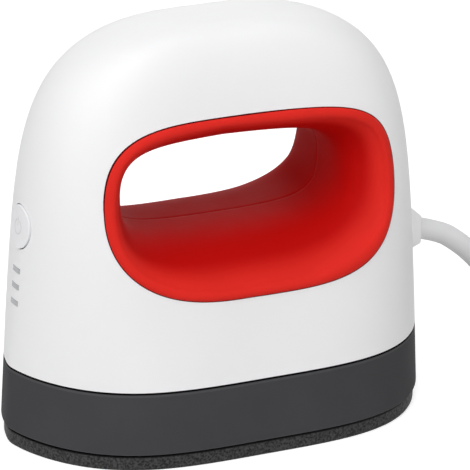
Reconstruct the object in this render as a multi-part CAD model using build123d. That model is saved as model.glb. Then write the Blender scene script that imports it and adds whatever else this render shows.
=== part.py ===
from build123d import *
import os
from math import cos, sin, pi, radians, sqrt, copysign, tan

# Mini handheld heat press, in millimetres.
# +X points to the cord end, -X to the button end, the broad faces look along
# -Y and +Y, and +Z is up. The origin is the centre of the sole of the plate.

# ---------------------------------------------------------------- driving sizes
# Plan outline, |x / half length|^end_power + |y / half width|^side_power = 1
PLAN_END_POWER = 3.7
PLAN_SIDE_POWER = 1.5
PLAN_END_POWER_RISE = 2.0
PLAN_SIDE_POWER_RISE = 0.77
OUTLINE_POINTS = 40

# Heated plate
PLATE_LENGTH = 106.7
PLATE_WIDTH = 63.0
PLATE_THICKNESS = 3.6
PLATE_EDGE_ROUND = 0.6
PEDESTAL_INSET = 6.2
PEDESTAL_TOP = PLATE_THICKNESS + 4.4

# Screws
SCREW_RADIUS = 1.5
SCREW_HEAD_RADIUS = 2.7
SCREW_HEAD_HEIGHT = 1.8
CLAMP_HEAD_HEIGHT = 1.4
SCREW_HOLE_GAP = 0.15
SMALL_SCREW_RADIUS = 1.0
SMALL_HEAD_RADIUS = 1.9
SMALL_HEAD_HEIGHT = 1.2

# Heater: a tube bent to a U in a groove of the pedestal, with an upright blade on each end
ELEMENT_RADIUS = 2.5
ELEMENT_LEG_Y = 7.0
ELEMENT_BEND_X = 25.35 - PLATE_LENGTH / 2
ELEMENT_END_X = PLATE_LENGTH / 2 - 16.35
ELEMENT_Z = PEDESTAL_TOP + 0.3
GROOVE_GAP = 0.1
GROOVE_END_GAP = 1.0
CLAMP_X = (-16.0, 18.0)
CLAMP_WIDTH = 6.0
CLAMP_THICKNESS = 1.0
COLD_PIN_RADIUS = 1.0
TAB_X = ELEMENT_END_X + 4.0
TAB_THICKNESS = 0.8
TAB_WIDTH = 4.8
TAB_DROP = 0.8
TAB_RISE = 6.0
TAB_SLOT_GAP = 0.7

# Mica sheet and steel shield, which lie on the step of the ceramic bushes
SHEET_BOTTOM = ELEMENT_Z + ELEMENT_RADIUS + CLAMP_THICKNESS + 0.1
SHEET_THICKNESS = 0.5
SHIELD_THICKNESS = 0.6
SHEET_INSET = 8.0
SHEET_HOLE_GAP = 0.5
STANDOFF_X = PLATE_LENGTH / 2 - 23.35
STANDOFF_Y = PLATE_WIDTH / 2 - 14.5
STANDOFF_RADIUS = 3.4
STANDOFF_STEP_RADIUS = 2.6
SHIELD_AIR_GAP = 1.5

# Temperature sensor and thermal cut-out, which lie on the pedestal between the element's legs
SENSOR_X = (-5.0, 3.0)
SENSOR_RADIUS = 1.4
FUSE_X = (24.0, 34.0)
FUSE_RADIUS = 1.6
FUSE_LEAD_LENGTH = 2.0
FUSE_LEAD_RADIUS = 0.5
CLIP_WIDTH = 3.0
CLIP_THICKNESS = 0.5
CLIP_FOOT = 2.4

# Skirt round the plate, with the deck that carries everything
DECK_BOTTOM = SHEET_BOTTOM + SHEET_THICKNESS + SHIELD_THICKNESS + SHIELD_AIR_GAP
DECK_THICKNESS = 2.5
DECK_TOP = DECK_BOTTOM + DECK_THICKNESS
SKIRT_FLARE = 1.4
SKIRT_BOTTOM = PLATE_THICKNESS + 0.55
SKIRT_HEIGHT = 15.5
SKIRT_TOP = SKIRT_BOTTOM + SKIRT_HEIGHT
SKIRT_WALL = 2.4
SKIRT_EDGE_ROUND = 0.5
LIP_HEIGHT = 3.4
LIP_WALL = 1.7
LIP_CLEARANCE = 0.9

# Moulded shell
BODY_LENGTH = PLATE_LENGTH - 0.1
BODY_WIDTH = PLATE_WIDTH + 0.6
BODY_HEIGHT = 101.6
SHELL_WALL = 2.4
SHADOW_GAP = 0.25
END_TAPER = 0.114
END_SHOULDER_POWER = 5.85
END_SHOULDER_ROOT = 3.03
SIDE_TAPER = 0.507
SIDE_SHOULDER_POWER = 7.25
SIDE_SHOULDER_ROOT = 5.0
CROWN_END = 0.9985
BODY_LEVELS = 13

# Screw posts inside the shell, each with a rib to the end wall
POST_X = BODY_LENGTH / 2 - 12.3
POST_Y = 13.5
POST_RADIUS = 3.4
POST_FOOT = DECK_TOP + 0.1
POST_TOP = DECK_TOP + 17.0
POST_RIB_THICKNESS = 2.0
RIB_NOTCH_GAP = 0.3
SKIRT_SCREW_TIP = DECK_TOP + 11.0

# Handle opening: rim on the shell's faces and throat in the middle plane
RIM_LEFT, RIM_LEFT_Z = -37.7, 62.2
RIM_RIGHT, RIM_RIGHT_Z = 38.4, 61.4
RIM_BOTTOM, RIM_BOTTOM_X = 40.0, -11.0
RIM_TOP, RIM_TOP_X = 82.0, -7.7
RIM_HANDLES = ((0.95, 0.75), (0.95, 0.57), (0.30, 0.83), (0.66, 0.68))
THROAT_HALF_LENGTH, THROAT_Z = 28.3, 63.1
THROAT_BOTTOM, THROAT_TOP = 51.2, 74.2
THROAT_HANDLES = ((0.78, 0.82), (0.78, 0.82), (0.90, 0.87), (0.90, 0.87))
LOOP_POINTS_PER_QUARTER = 8
LINER_GAP = 0.15
LINER_WALL = 2.2
LIP_PROUD = 0.45
LIP_WIDTH = 3.4
LIP_ROUND = 2.4
SCOOP_POWER = 3.2
SCOOP_END_POWER_SHIFT = 1.1
FUNNEL_REACH = BODY_WIDTH / 2 + 2.2
FUNNEL_RINGS = 10
OPENING_REACH = BODY_WIDTH / 2 + 14.2
LINER_SCREW_X = 15.0
LINER_BOSS_RADIUS = 3.0
LINER_BOSS_DEPTH = 5.0
LINER_BOSS_RIB_HALF = 1.5
LINER_BOSS_LOW_Z = THROAT_BOTTOM - 4.6
LINER_BOSS_HIGH_Z = THROAT_TOP + 5.4

# Power button and its switch at the -X end
BUTTON_Z = 54.9
BUTTON_RADIUS = 5.2
BUTTON_GAP = 0.25
BUTTON_PROUD = 0.4
BUTTON_TRAVEL = 0.5
BUTTON_FLANGE_RADIUS = 6.6
BUTTON_FLANGE_BACK = 7.7 - BODY_LENGTH / 2
BUTTON_FLANGE_GAP = 0.25
BUTTON_NECK = 0.6
PLUNGER_RADIUS = 1.5
PLUNGER_GAP = 0.1
PLUNGER_END = BUTTON_FLANGE_BACK + 2.4
PLUNGER_END_GAP = 0.15
SWITCH_SIDE = 6.0
SWITCH_HEIGHT = 2.5
SWITCH_FLOOR = 0.65

# Upright board behind the button, on a bent carrier
BOARD_FRONT = PLUNGER_END + BUTTON_TRAVEL + PLUNGER_END_GAP + SWITCH_FLOOR
BOARD_THICKNESS = 1.6
BOARD_BACK = BOARD_FRONT + BOARD_THICKNESS
BOARD_HALF_WIDTH = 8.0
BOARD_BOTTOM = DECK_TOP + 7.0
BOARD_TOP = BUTTON_Z + 8.1
BOARD_SCREW_RISE = 4.0
BOARD_SCREW_DROP = 2.6
CARRIER_THICKNESS = 1.4
CARRIER_FOOT_LENGTH = 10.0
CARRIER_SCREW_Y = 4.5

# Indicator windows: one light guide with three pipes, and a lamp behind each
WINDOW_PITCH = 4.05
WINDOW_TOP_Z = BUTTON_Z - 10.7
WINDOW_WIDTH = 4.0
WINDOW_HEIGHT = 1.15
WINDOW_GAP = 0.1
WINDOW_COUNT = 3
GUIDE_FRONT = 6.3 - BODY_LENGTH / 2
GUIDE_THICKNESS = 1.6
GUIDE_MARGIN = 1.0
GUIDE_END_MARGIN = 3.0
GUIDE_PEG_RADIUS = 0.7
GUIDE_PEG_INSET = 0.9
LAMP_DEPTH, LAMP_WIDTH, LAMP_HEIGHT = 1.2, 1.8, 1.2

# Mains board and its parts
POWER_BOARD_HALF_LENGTH = 20.0
POWER_BOARD_HALF_WIDTH = 13.0
POWER_BOARD_Z = DECK_TOP + 3.5
POWER_BOARD_TOP = POWER_BOARD_Z + BOARD_THICKNESS
POWER_BOARD_HOLE_INSET = 3.5
RELAY_X, RELAY_LENGTH, RELAY_WIDTH, RELAY_HEIGHT = -4.5, 15.0, 10.0, 12.0
FILM_X, FILM_LENGTH, FILM_WIDTH, FILM_HEIGHT = 8.5, 5.0, 13.0, 10.0
CASE_ROUND = 0.8
CAN_PLACE, CAN_RADIUS, CAN_HEIGHT, CAN_ROUND = (-4.0, 9.3), 2.5, 9.0, 0.5

# Terminal block on the deck
TERMINAL_X = POWER_BOARD_HALF_LENGTH + 9.0
TERMINAL_LENGTH, TERMINAL_WIDTH, TERMINAL_HEIGHT = 8.0, 16.0, 9.0
TERMINAL_Y = 4.0
TERMINAL_WIRE_Z = DECK_TOP + 2.4
TERMINAL_WELL_BOTTOM = DECK_TOP + 4.0
TERMINAL_SCREW_RADIUS = 1.65
TERMINAL_SCREW_LENGTH = 4.2
TERMINAL_WELL_GAP = 0.15

# Gland where the mains cord comes out, and the cord's two wires inside
GLAND_Z = 38.3
GLAND_NECK_RADIUS = 4.5
GLAND_HOLE_GAP = 0.15
GLAND_COLLAR_RADIUS = 5.6
GLAND_FACE_RADIUS = 3.9
GLAND_FACE_ROUND = 0.5
GLAND_FACE_X = BODY_LENGTH / 2 + 4.1
GLAND_CONE_X = BODY_LENGTH / 2 + 1.1
GLAND_COLLAR_X = BODY_LENGTH / 2 - 3.3
GLAND_INNER_X = BODY_LENGTH / 2 - 6.7
GLAND_FLANGE_RADIUS = 6.2
GLAND_WALL_GAP = 0.05
GLAND_FLANGE_GAP = 0.2
WIRE_RADIUS = 1.1
WIRE_GAP = 0.3
WIRE_BENDS = (2.4, 4.0, 2.2)

# Mains cord, its coil and its plug, which lie beside the press
CORD_DIAMETER = 5.4
CORD_ROUTE = ((57.1, 0.0, 38.4), (62.4, 0.0, 36.5), (67.1, 0.0, 33.7), (71.4, 0.0, 30.1),
              (76.0, 0.2, 24.9), (81.3, 0.9, 17.8), (87.2, 2.4, 10.9), (93.6, 4.5, 5.9),
              (101.2, 7.6, 3.2), (109.2, 11.1, 2.7), (118.0, 15.1, 2.7), (128.0, 19.0, 2.7),
              (138.0, 21.8, 2.7), (148.0, 22.8, 2.7))
CORD_TAIL_ROUTE = ((154.5, -46.9, 13.4), (145.0, -47.3, 12.5), (136.5, -48.0, 9.0),
                   (125.5, -48.4, 6.85))
COIL_X, COIL_Y = 157.5, -12.0
COIL_RADIUS = 29.0
COIL_TURNS_WIDE = 3
COIL_TURNS_HIGH = 3
TIE_ANGLE = 20.0
TIE_THICKNESS = 0.8
TIE_WIDTH = 6.0
PLUG_RELIEF_LENGTH = 20.0
PLUG_RELIEF_RADIUS = 4.6
PLUG_RELIEF_WALL = 0.6
PLUG_RIB_COUNT = 4
PLUG_RIB_PITCH = 3.6
PLUG_RIB_START = 3.0
PLUG_GROOVE_WIDTH = 1.8
PLUG_BODY_LENGTH = 34.0
PLUG_BODY_WIDTH = 35.3
PLUG_BODY_THICKNESS = 13.7
PLUG_NECK_WIDTH = 15.0
PLUG_SHOULDER_LENGTH = 15.3
PLUG_CORNER_ROUND = 4.0
PLUG_EDGE_CHAMFER = 2.2
PIN_LENGTH = 19.0
PIN_RADIUS = 2.0
PIN_TIP_ROUND = 1.6
PIN_SPACING = 18.6
PIN_ROOT_LENGTH = 1.0
PIN_ROOT_RADIUS = 1.6
PIN_SEAT = 6.0


# ---------------------------------------------------------------- small helpers
def signed_power(value, power):
    """A power that keeps the sign of its base."""
    return copysign(abs(value) ** power, value)


def block(x0, x1, y0, y1, z0, z1):
    """A box between two corners."""
    centre = ((x0 + x1) / 2, (y0 + y1) / 2, (z0 + z1) / 2)
    return Pos(*centre) * Box(x1 - x0, y1 - y0, z1 - z0)


def post(x, y, z0, z1, radius):
    """A cylinder along Z."""
    return Pos(x, y, (z0 + z1) / 2) * Cylinder(radius, z1 - z0)


def rod_x(x0, x1, y, z, radius):
    """A cylinder along X."""
    return Pos((x0 + x1) / 2, y, z) * Rot(0, 90, 0) * Cylinder(radius, x1 - x0)


def rod_y(x, y0, y1, z, radius):
    """A cylinder along Y."""
    return Pos(x, (y0 + y1) / 2, z) * Rot(90, 0, 0) * Cylinder(radius, y1 - y0)


def corners(x, y):
    """The four places at plus and minus x and y."""
    return [(sx * x, sy * y) for sx in (-1, 1) for sy in (-1, 1)]


def screw_up(x, y, seat, tip, radius, head_radius, head_height):
    """A screw along Z whose head rests on `seat` and whose tip is at `tip`."""
    away = 1 if seat > tip else -1
    head_end = seat + away * head_height
    shank = post(x, y, min(seat, tip), max(seat, tip), radius)
    return shank + post(x, y, min(seat, head_end), max(seat, head_end), head_radius)


def wire_path(points, radius, bend):
    """A round wire along straight runs joined by arcs."""
    path = FilletPolyline(*points, radius=bend)
    start = Plane(origin=path @ 0, z_dir=path % 0)
    return sweep(start * Circle(radius), path=path)


# ---------------------------------------------------------------- body form
def rise_at(z, inset=0.0):
    """How far up the shell a height is, from 0 at its foot to 1 at its crown."""
    return max(0.0, (z - SKIRT_TOP) / (BODY_HEIGHT - inset - SKIRT_TOP))


def body_section(z, inset=0.0):
    """Half length, half width and the two plan powers of the shell at a height."""
    t = rise_at(z, inset)
    end_round = max(0.0, 1 - t ** END_SHOULDER_POWER) ** (1 / END_SHOULDER_ROOT)
    side_round = max(0.0, 1 - t ** SIDE_SHOULDER_POWER) ** (1 / SIDE_SHOULDER_ROOT)
    half_length = (BODY_LENGTH / 2 - inset) * (1 - END_TAPER * t) * end_round
    half_width = (BODY_WIDTH / 2 - inset) * (1 - SIDE_TAPER * t) * side_round
    end_power = PLAN_END_POWER + PLAN_END_POWER_RISE * t
    side_power = PLAN_SIDE_POWER + PLAN_SIDE_POWER_RISE * t
    return half_length, half_width, end_power, side_power


def outline(half_length, half_width, z, end_power=PLAN_END_POWER, side_power=PLAN_SIDE_POWER):
    """The closed plan outline at a height."""
    points = []
    for step in range(OUTLINE_POINTS):
        angle = 2 * pi * step / OUTLINE_POINTS
        x = half_length * signed_power(cos(angle), 2 / end_power)
        y = half_width * signed_power(sin(angle), 2 / side_power)
        points.append((x, y, z))
    return Wire([Edge.make_spline(points, periodic=True)])


def body_solid(inset=0.0, bottom=SKIRT_TOP):
    """The shell's outer form, or a form the same all round but smaller by `inset`."""
    top = SKIRT_TOP + CROWN_END * (BODY_HEIGHT - inset - SKIRT_TOP)
    reach = 1 - sqrt(1 - CROWN_END)
    sections = []
    for level in range(BODY_LEVELS):
        share = reach * level / (BODY_LEVELS - 1)
        z = bottom + (top - bottom) * (1 - (1 - share) ** 2) / CROWN_END
        a, b, n, m = body_section(z, inset)
        sections.append(outline(a, b, z, n, m))
    return Solid.make_loft(sections)


def surface_half_width(x, z):
    """Distance of the shell's surface from the middle plane, at x and z."""
    a, b, n, m = body_section(z)
    return b * (1 - min(1.0, abs(x / a) ** n)) ** (1 / m)


def plan_prism(half_length, half_width, z0, z1):
    """An upright prism of the plan outline."""
    return Solid.extrude(Face(outline(half_length, half_width, z0)), Vector(0, 0, z1 - z0))


# ---------------------------------------------------------------- handle opening
def bezier(p0, p1, p2, p3, t):
    """A point of a cubic curve and its direction, in the XZ plane."""
    s = 1 - t
    point = [s**3 * a + 3 * s * s * t * b + 3 * s * t * t * c + t**3 * d
             for a, b, c, d in zip(p0, p1, p2, p3)]
    slope = [3 * s * s * (b - a) + 6 * s * t * (c - b) + 3 * t * t * (d - c)
             for a, b, c, d in zip(p0, p1, p2, p3)]
    return point, slope


def loop_points(right, top, left, bottom, handles, inset=0.0):
    """Points of a closed loop of four quarter curves, moved inwards by `inset`."""
    corners = (right, top, left, bottom)
    points = []
    for quarter in range(4):
        start, end = corners[quarter], corners[(quarter + 1) % 4]
        side_share, level_share = handles[quarter]
        upright_first = quarter % 2 == 0
        side, level = (start, end) if upright_first else (end, start)
        near_side = (side[0], side[1] + side_share * (level[1] - side[1]))
        near_level = (level[0] + level_share * (side[0] - level[0]), level[1])
        middle = (near_side, near_level) if upright_first else (near_level, near_side)
        for step in range(LOOP_POINTS_PER_QUARTER):
            share = step / LOOP_POINTS_PER_QUARTER
            (x, z), (dx, dz) = bezier(start, middle[0], middle[1], end, share)
            length = sqrt(dx * dx + dz * dz)
            points.append((x - inset * dz / length, z + inset * dx / length))
    return points


def rim_loop(inset=0.0):
    """The rim's outline in the XZ plane."""
    return loop_points((RIM_RIGHT, RIM_RIGHT_Z), (RIM_TOP_X, RIM_TOP), (RIM_LEFT, RIM_LEFT_Z),
                       (RIM_BOTTOM_X, RIM_BOTTOM), RIM_HANDLES, inset)


def throat_loop(inset=0.0):
    """The throat's outline in the middle plane."""
    return loop_points((THROAT_HALF_LENGTH, THROAT_Z), (0.0, THROAT_TOP),
                       (-THROAT_HALF_LENGTH, THROAT_Z), (0.0, THROAT_BOTTOM),
                       THROAT_HANDLES, inset)


def ring_wire(points):
    """A smooth closed wire through points in space."""
    return Wire([Edge.make_spline(points, periodic=True)])


def opening_prism(inset, y0, y1):
    """The rim's outline carried straight along Y."""
    wire = ring_wire([(x, y0, z) for x, z in rim_loop(inset)])
    return Solid.extrude(Face(wire), Vector(0, y1 - y0, 0))


def funnel_ring(y, wall):
    """The funnel's outline in an upright plane; it opens from the throat past the rim."""
    points = []
    for (rx, rz), (tx, tz) in zip(rim_loop(), throat_loop()):
        reach = sqrt((tx - rx) ** 2 + (tz - rz) ** 2)
        ex, ez = (tx - rx) / reach, (tz - rz) / reach
        power = SCOOP_POWER - SCOOP_END_POWER_SHIFT * ex
        share = y / surface_half_width(rx, rz)
        opened = share**power if share < 1 else 1 + power * (share - 1)
        inset = reach - (reach - LIP_WIDTH) * opened - wall
        points.append((rx + ex * inset, -y, rz + ez * inset))
    return ring_wire(points)


def funnel_solid(wall=0.0):
    """The space in front of the liner's face, or of the face moved back by `wall`."""
    steps = range(FUNNEL_RINGS)
    return Solid.make_loft([funnel_ring(FUNNEL_REACH * i / (FUNNEL_RINGS - 1), wall) for i in steps])


# ---------------------------------------------------------------- shell and liners
def post_rib(x, y, z0, z1, thickness):
    """The rib from a screw post to the end wall beside it."""
    return block(*sorted((x, copysign(BODY_LENGTH / 2, x))), y - thickness / 2, y + thickness / 2, z0, z1)


def outer_shell():
    """The one-piece moulded shell, open below and through the handle."""
    shell = body_solid(bottom=SKIRT_TOP) - body_solid(SHELL_WALL, bottom=SKIRT_TOP - 2.0)
    inside = body_solid(SHELL_WALL / 2, bottom=SKIRT_TOP - 2.0)
    posts = Part()
    for x, y in corners(POST_X, POST_Y):
        posts += post(x, y, POST_FOOT, POST_TOP, POST_RADIUS)
        posts += post_rib(x, y, SKIRT_TOP + SHADOW_GAP, POST_TOP, POST_RIB_THICKNESS)
    shell = shell + (posts & inside)
    for x, y in corners(POST_X, POST_Y):
        shell -= post(x, y, POST_FOOT - 1.0, SKIRT_SCREW_TIP + 1.0, SCREW_RADIUS)
    shell -= block(-BODY_LENGTH, BODY_LENGTH, -BODY_WIDTH, BODY_WIDTH,
                   SKIRT_TOP - 2.0, SKIRT_TOP + SHADOW_GAP) - posts
    shell -= opening_prism(0.0, -OPENING_REACH, OPENING_REACH)
    shell -= rod_x(-BODY_LENGTH, BUTTON_FLANGE_BACK, 0, BUTTON_Z, BUTTON_RADIUS + BUTTON_GAP)
    for z in window_heights():
        shell -= window_block(z, WINDOW_GAP)
    shell -= rod_x(GLAND_INNER_X, BODY_LENGTH, 0, GLAND_Z, GLAND_NECK_RADIUS + GLAND_HOLE_GAP)
    return shell


def liner_half(side):
    """Half of the red liner: a funnel from the middle plane to a rolled lip on one face."""
    lip = opening_prism(LINER_GAP, 0, -OPENING_REACH) & body_solid(-LIP_PROUD)
    half = (lip - funnel_solid()) & funnel_solid(LINER_WALL)
    rim_edges = [e for e in half.edges() if e.center().Y < -LINER_BOSS_DEPTH]
    inner_rim = min((e for e in rim_edges if e.length > BODY_LENGTH), key=lambda e: e.length)
    half = fillet(inner_rim, LIP_ROUND)
    hollow = funnel_solid(LINER_WALL / 2)
    for x, z in liner_screw_places():
        rib = block(x - LINER_BOSS_RIB_HALF, x + LINER_BOSS_RIB_HALF, -LINER_BOSS_DEPTH, 0,
                    min(z, THROAT_Z), max(z, THROAT_Z))
        half += rod_y(x, -LINER_BOSS_DEPTH, 0, z, LINER_BOSS_RADIUS) + rib - hollow
    for x, z in liner_screw_places():
        hole = SMALL_SCREW_RADIUS + (SCREW_HOLE_GAP if side < 0 else 0.0)
        half -= rod_y(x, -LINER_BOSS_DEPTH - 1, 1, z, hole)
    return half if side < 0 else mirror(half, about=Plane.XZ)


def liner_screw_places():
    """Where screws join the two liner halves, as (x, z)."""
    return [(x, z) for x in (-LINER_SCREW_X, LINER_SCREW_X)
            for z in (LINER_BOSS_LOW_Z, LINER_BOSS_HIGH_Z)]


def liner_screws():
    """Screws along Y through the front half's bosses into the rear half's."""
    screws = []
    for x, z in liner_screw_places():
        head = rod_y(x, -LINER_BOSS_DEPTH - SMALL_HEAD_HEIGHT, -LINER_BOSS_DEPTH, z, SMALL_HEAD_RADIUS)
        screws.append(rod_y(x, -LINER_BOSS_DEPTH, LINER_BOSS_DEPTH - 1.0, z, SMALL_SCREW_RADIUS) + head)
    return screws


# ---------------------------------------------------------------- skirt and plate
def base_skirt():
    """The dark skirt: a drafted ring with a deck inside and a lip that enters the shell."""
    def ring(inset, z0, z1):
        flare = SKIRT_FLARE / 2 - inset
        low = outline(BODY_LENGTH / 2 + flare, BODY_WIDTH / 2 + flare, z0)
        high = outline(BODY_LENGTH / 2 - inset, BODY_WIDTH / 2 - inset, z1)
        return Solid.make_loft([low, high], ruled=True)

    skirt = ring(0.0, SKIRT_BOTTOM, SKIRT_TOP)
    skirt = fillet(skirt.edges().sort_by(Axis.Z)[0], SKIRT_EDGE_ROUND)
    skirt -= ring(SKIRT_WALL, SKIRT_BOTTOM - 1.0, SKIRT_TOP + 1.0)
    half_length, half_width = BODY_LENGTH / 2 - SKIRT_WALL / 2, BODY_WIDTH / 2 - SKIRT_WALL / 2
    skirt += plan_prism(half_length, half_width, DECK_BOTTOM, DECK_TOP)
    skirt += skirt_lip()
    for x, y in power_board_holes():
        skirt += post(x, y, DECK_TOP, POWER_BOARD_Z, SMALL_HEAD_RADIUS + CARRIER_THICKNESS / 2)
        skirt -= post(x, y, DECK_TOP, POWER_BOARD_Z, SMALL_SCREW_RADIUS)
    for x, y in corners(POST_X, POST_Y) + corners(STANDOFF_X, STANDOFF_Y):
        skirt -= post(x, y, DECK_BOTTOM - 1.0, DECK_TOP + 1.0, SCREW_RADIUS + SCREW_HOLE_GAP)
    for y in (-ELEMENT_LEG_Y, ELEMENT_LEG_Y):
        skirt -= tab_block(y, TAB_SLOT_GAP)
    for x, y in carrier_screw_places():
        skirt -= post(x, y, DECK_BOTTOM - 1.0, DECK_TOP + 1.0, SMALL_SCREW_RADIUS)
    return skirt


def skirt_lip():
    """The upright wall that enters the shell from the deck, notched for the shell's posts."""
    top = SKIRT_TOP + LIP_HEIGHT
    outer, inner = SHELL_WALL + LIP_CLEARANCE, SHELL_WALL + LIP_CLEARANCE + LIP_WALL
    lip = plan_prism(BODY_LENGTH / 2 - outer, BODY_WIDTH / 2 - outer, DECK_TOP, top)
    lip -= plan_prism(BODY_LENGTH / 2 - inner, BODY_WIDTH / 2 - inner, DECK_TOP, top)
    for x, y in corners(POST_X, POST_Y):
        lip -= post(x, y, DECK_TOP, top, POST_RADIUS + RIB_NOTCH_GAP)
        lip -= post_rib(x, y, DECK_TOP, top, POST_RIB_THICKNESS + 2 * RIB_NOTCH_GAP)
    return lip


def heat_plate():
    """The cast plate: a flat sole, and a raised pedestal grooved for the element."""
    plate = plan_prism(PLATE_LENGTH / 2, PLATE_WIDTH / 2, 0, PLATE_THICKNESS)
    plate = fillet(plate.edges().group_by(Axis.Z)[0], PLATE_EDGE_ROUND)
    plate += plan_prism(PLATE_LENGTH / 2 - PEDESTAL_INSET, PLATE_WIDTH / 2 - PEDESTAL_INSET,
                        PLATE_THICKNESS, PEDESTAL_TOP)
    plate -= element_tube(ELEMENT_RADIUS + GROOVE_GAP, TAB_X + TAB_THICKNESS + GROOVE_END_GAP)
    for x, y in corners(STANDOFF_X, STANDOFF_Y) + clamp_screw_places():
        plate -= post(x, y, PLATE_THICKNESS - 1.0, PEDESTAL_TOP + 1.0, SCREW_RADIUS)
    return plate


def element_tube(radius, end_x):
    """A U of tube lying in the pedestal."""
    start, knee = (end_x, ELEMENT_LEG_Y, ELEMENT_Z), (ELEMENT_BEND_X, ELEMENT_LEG_Y, ELEMENT_Z)
    path = Wire([
        Edge.make_line(start, knee),
        Edge.make_three_point_arc(knee, (ELEMENT_BEND_X - ELEMENT_LEG_Y, 0, ELEMENT_Z),
                                  (knee[0], -knee[1], ELEMENT_Z)),
        Edge.make_line((knee[0], -knee[1], ELEMENT_Z), (end_x, -ELEMENT_LEG_Y, ELEMENT_Z)),
    ])
    return sweep(Plane(origin=start, z_dir=(-1, 0, 0)) * Circle(radius), path=path)


def tab_block(y, grow=0.0):
    """The upright blade of an element terminal."""
    return block(TAB_X - grow, TAB_X + TAB_THICKNESS + grow, y - TAB_WIDTH / 2 - grow,
                 y + TAB_WIDTH / 2 + grow, ELEMENT_Z - TAB_DROP, DECK_TOP + TAB_RISE)


def element_terminals():
    """A cold pin and an upright blade on each end of the element."""
    return [tab_block(y) + rod_x(ELEMENT_END_X, TAB_X, y, ELEMENT_Z, COLD_PIN_RADIUS)
            for y in (-ELEMENT_LEG_Y, ELEMENT_LEG_Y)]


def clamp_screw_places():
    """Where the clamp bars are screwed to the pedestal."""
    return [(x, 0.0) for x in CLAMP_X]


def element_clamps():
    """Bars that hold the element down, bridged to the pedestal at their middle."""
    bars = []
    top = ELEMENT_Z + ELEMENT_RADIUS
    for x in CLAMP_X:
        bar = block(x - CLAMP_WIDTH / 2, x + CLAMP_WIDTH / 2, -ELEMENT_LEG_Y - ELEMENT_RADIUS,
                    ELEMENT_LEG_Y + ELEMENT_RADIUS, top, top + CLAMP_THICKNESS)
        bar += post(x, 0, PEDESTAL_TOP, top, CLAMP_WIDTH / 2)
        bars.append(bar - post(x, 0, PEDESTAL_TOP, top + CLAMP_THICKNESS, SCREW_RADIUS + SCREW_HOLE_GAP))
    return bars


def clamp_screws():
    """Low screws through the clamp bars into the pedestal."""
    seat = ELEMENT_Z + ELEMENT_RADIUS + CLAMP_THICKNESS
    return [screw_up(x, y, seat, PLATE_THICKNESS, SCREW_RADIUS, SCREW_HEAD_RADIUS, CLAMP_HEAD_HEIGHT)
            for x, y in clamp_screw_places()]


def insulation_sheet():
    """The mica sheet over the heater."""
    return hot_side_sheet(SHEET_BOTTOM, SHEET_THICKNESS)


def heat_shield():
    """The bright steel shield on the mica sheet."""
    return hot_side_sheet(SHEET_BOTTOM + SHEET_THICKNESS, SHIELD_THICKNESS)


def hot_side_sheet(bottom, thickness):
    """A sheet between plate and deck, cut for standoffs, clamp heads and terminals."""
    sheet = plan_prism(PLATE_LENGTH / 2 - SHEET_INSET, PLATE_WIDTH / 2 - SHEET_INSET,
                       bottom, bottom + thickness)
    holes = [(place, STANDOFF_STEP_RADIUS) for place in corners(STANDOFF_X, STANDOFF_Y)]
    holes += [(place, SCREW_HEAD_RADIUS) for place in clamp_screw_places() + corners(POST_X, POST_Y)]
    for (x, y), radius in holes:
        sheet -= post(x, y, bottom - 1, bottom + thickness + 1, radius + SHEET_HOLE_GAP)
    for y in (-ELEMENT_LEG_Y, ELEMENT_LEG_Y):
        sheet -= tab_block(y, TAB_SLOT_GAP)
    return sheet


def plate_standoffs():
    """Stepped ceramic bushes between the pedestal and the deck; the sheets sit on the step."""
    bushes = []
    for x, y in corners(STANDOFF_X, STANDOFF_Y):
        bush = post(x, y, PEDESTAL_TOP, SHEET_BOTTOM, STANDOFF_RADIUS)
        bush += post(x, y, SHEET_BOTTOM, DECK_BOTTOM, STANDOFF_STEP_RADIUS)
        bushes.append(bush - post(x, y, PEDESTAL_TOP, DECK_BOTTOM, SCREW_RADIUS + SCREW_HOLE_GAP))
    return bushes


def plate_screws():
    """Screws from the deck through the bushes into the pedestal."""
    return [screw_up(x, y, DECK_TOP, PLATE_THICKNESS, SCREW_RADIUS, SCREW_HEAD_RADIUS,
                     SCREW_HEAD_HEIGHT) for x, y in corners(STANDOFF_X, STANDOFF_Y)]


def skirt_screws():
    """Screws from under the deck up into the shell's posts."""
    return [screw_up(x, y, DECK_BOTTOM, SKIRT_SCREW_TIP, SCREW_RADIUS, SCREW_HEAD_RADIUS,
                     SCREW_HEAD_HEIGHT) for x, y in corners(POST_X, POST_Y)]


def temperature_sensor():
    """A bead thermistor lying on the pedestal."""
    return rod_x(*SENSOR_X, 0, PEDESTAL_TOP + SENSOR_RADIUS, SENSOR_RADIUS)


def thermal_fuse():
    """A cylindrical thermal cut-out with its two leads."""
    z = PEDESTAL_TOP + FUSE_RADIUS
    leads = rod_x(FUSE_X[0] - FUSE_LEAD_LENGTH, FUSE_X[1] + FUSE_LEAD_LENGTH, 0, z, FUSE_LEAD_RADIUS)
    return rod_x(*FUSE_X, 0, z, FUSE_RADIUS) + leads


def sensor_clips():
    """Sprung straps that press the sensor and the fuse on the pedestal."""
    clips = []
    for (start, end), radius in ((SENSOR_X, SENSOR_RADIUS), (FUSE_X, FUSE_RADIUS)):
        middle, axis_z, reach = (start + end) / 2, PEDESTAL_TOP + radius, radius + CLIP_FOOT
        x0, x1 = middle - CLIP_WIDTH / 2, middle + CLIP_WIDTH / 2
        clip = rod_x(x0, x1, 0, axis_z, radius + CLIP_THICKNESS)
        clip += block(x0, x1, -reach, reach, PEDESTAL_TOP, PEDESTAL_TOP + CLIP_THICKNESS)
        clip -= rod_x(x0, x1, 0, axis_z, radius)
        clip -= block(x0, x1, -radius, radius, PEDESTAL_TOP - CLIP_THICKNESS, axis_z)
        clip -= block(x0, x1, -reach, reach, PEDESTAL_TOP - radius, PEDESTAL_TOP)
        clips.append(clip)
    return clips


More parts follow.
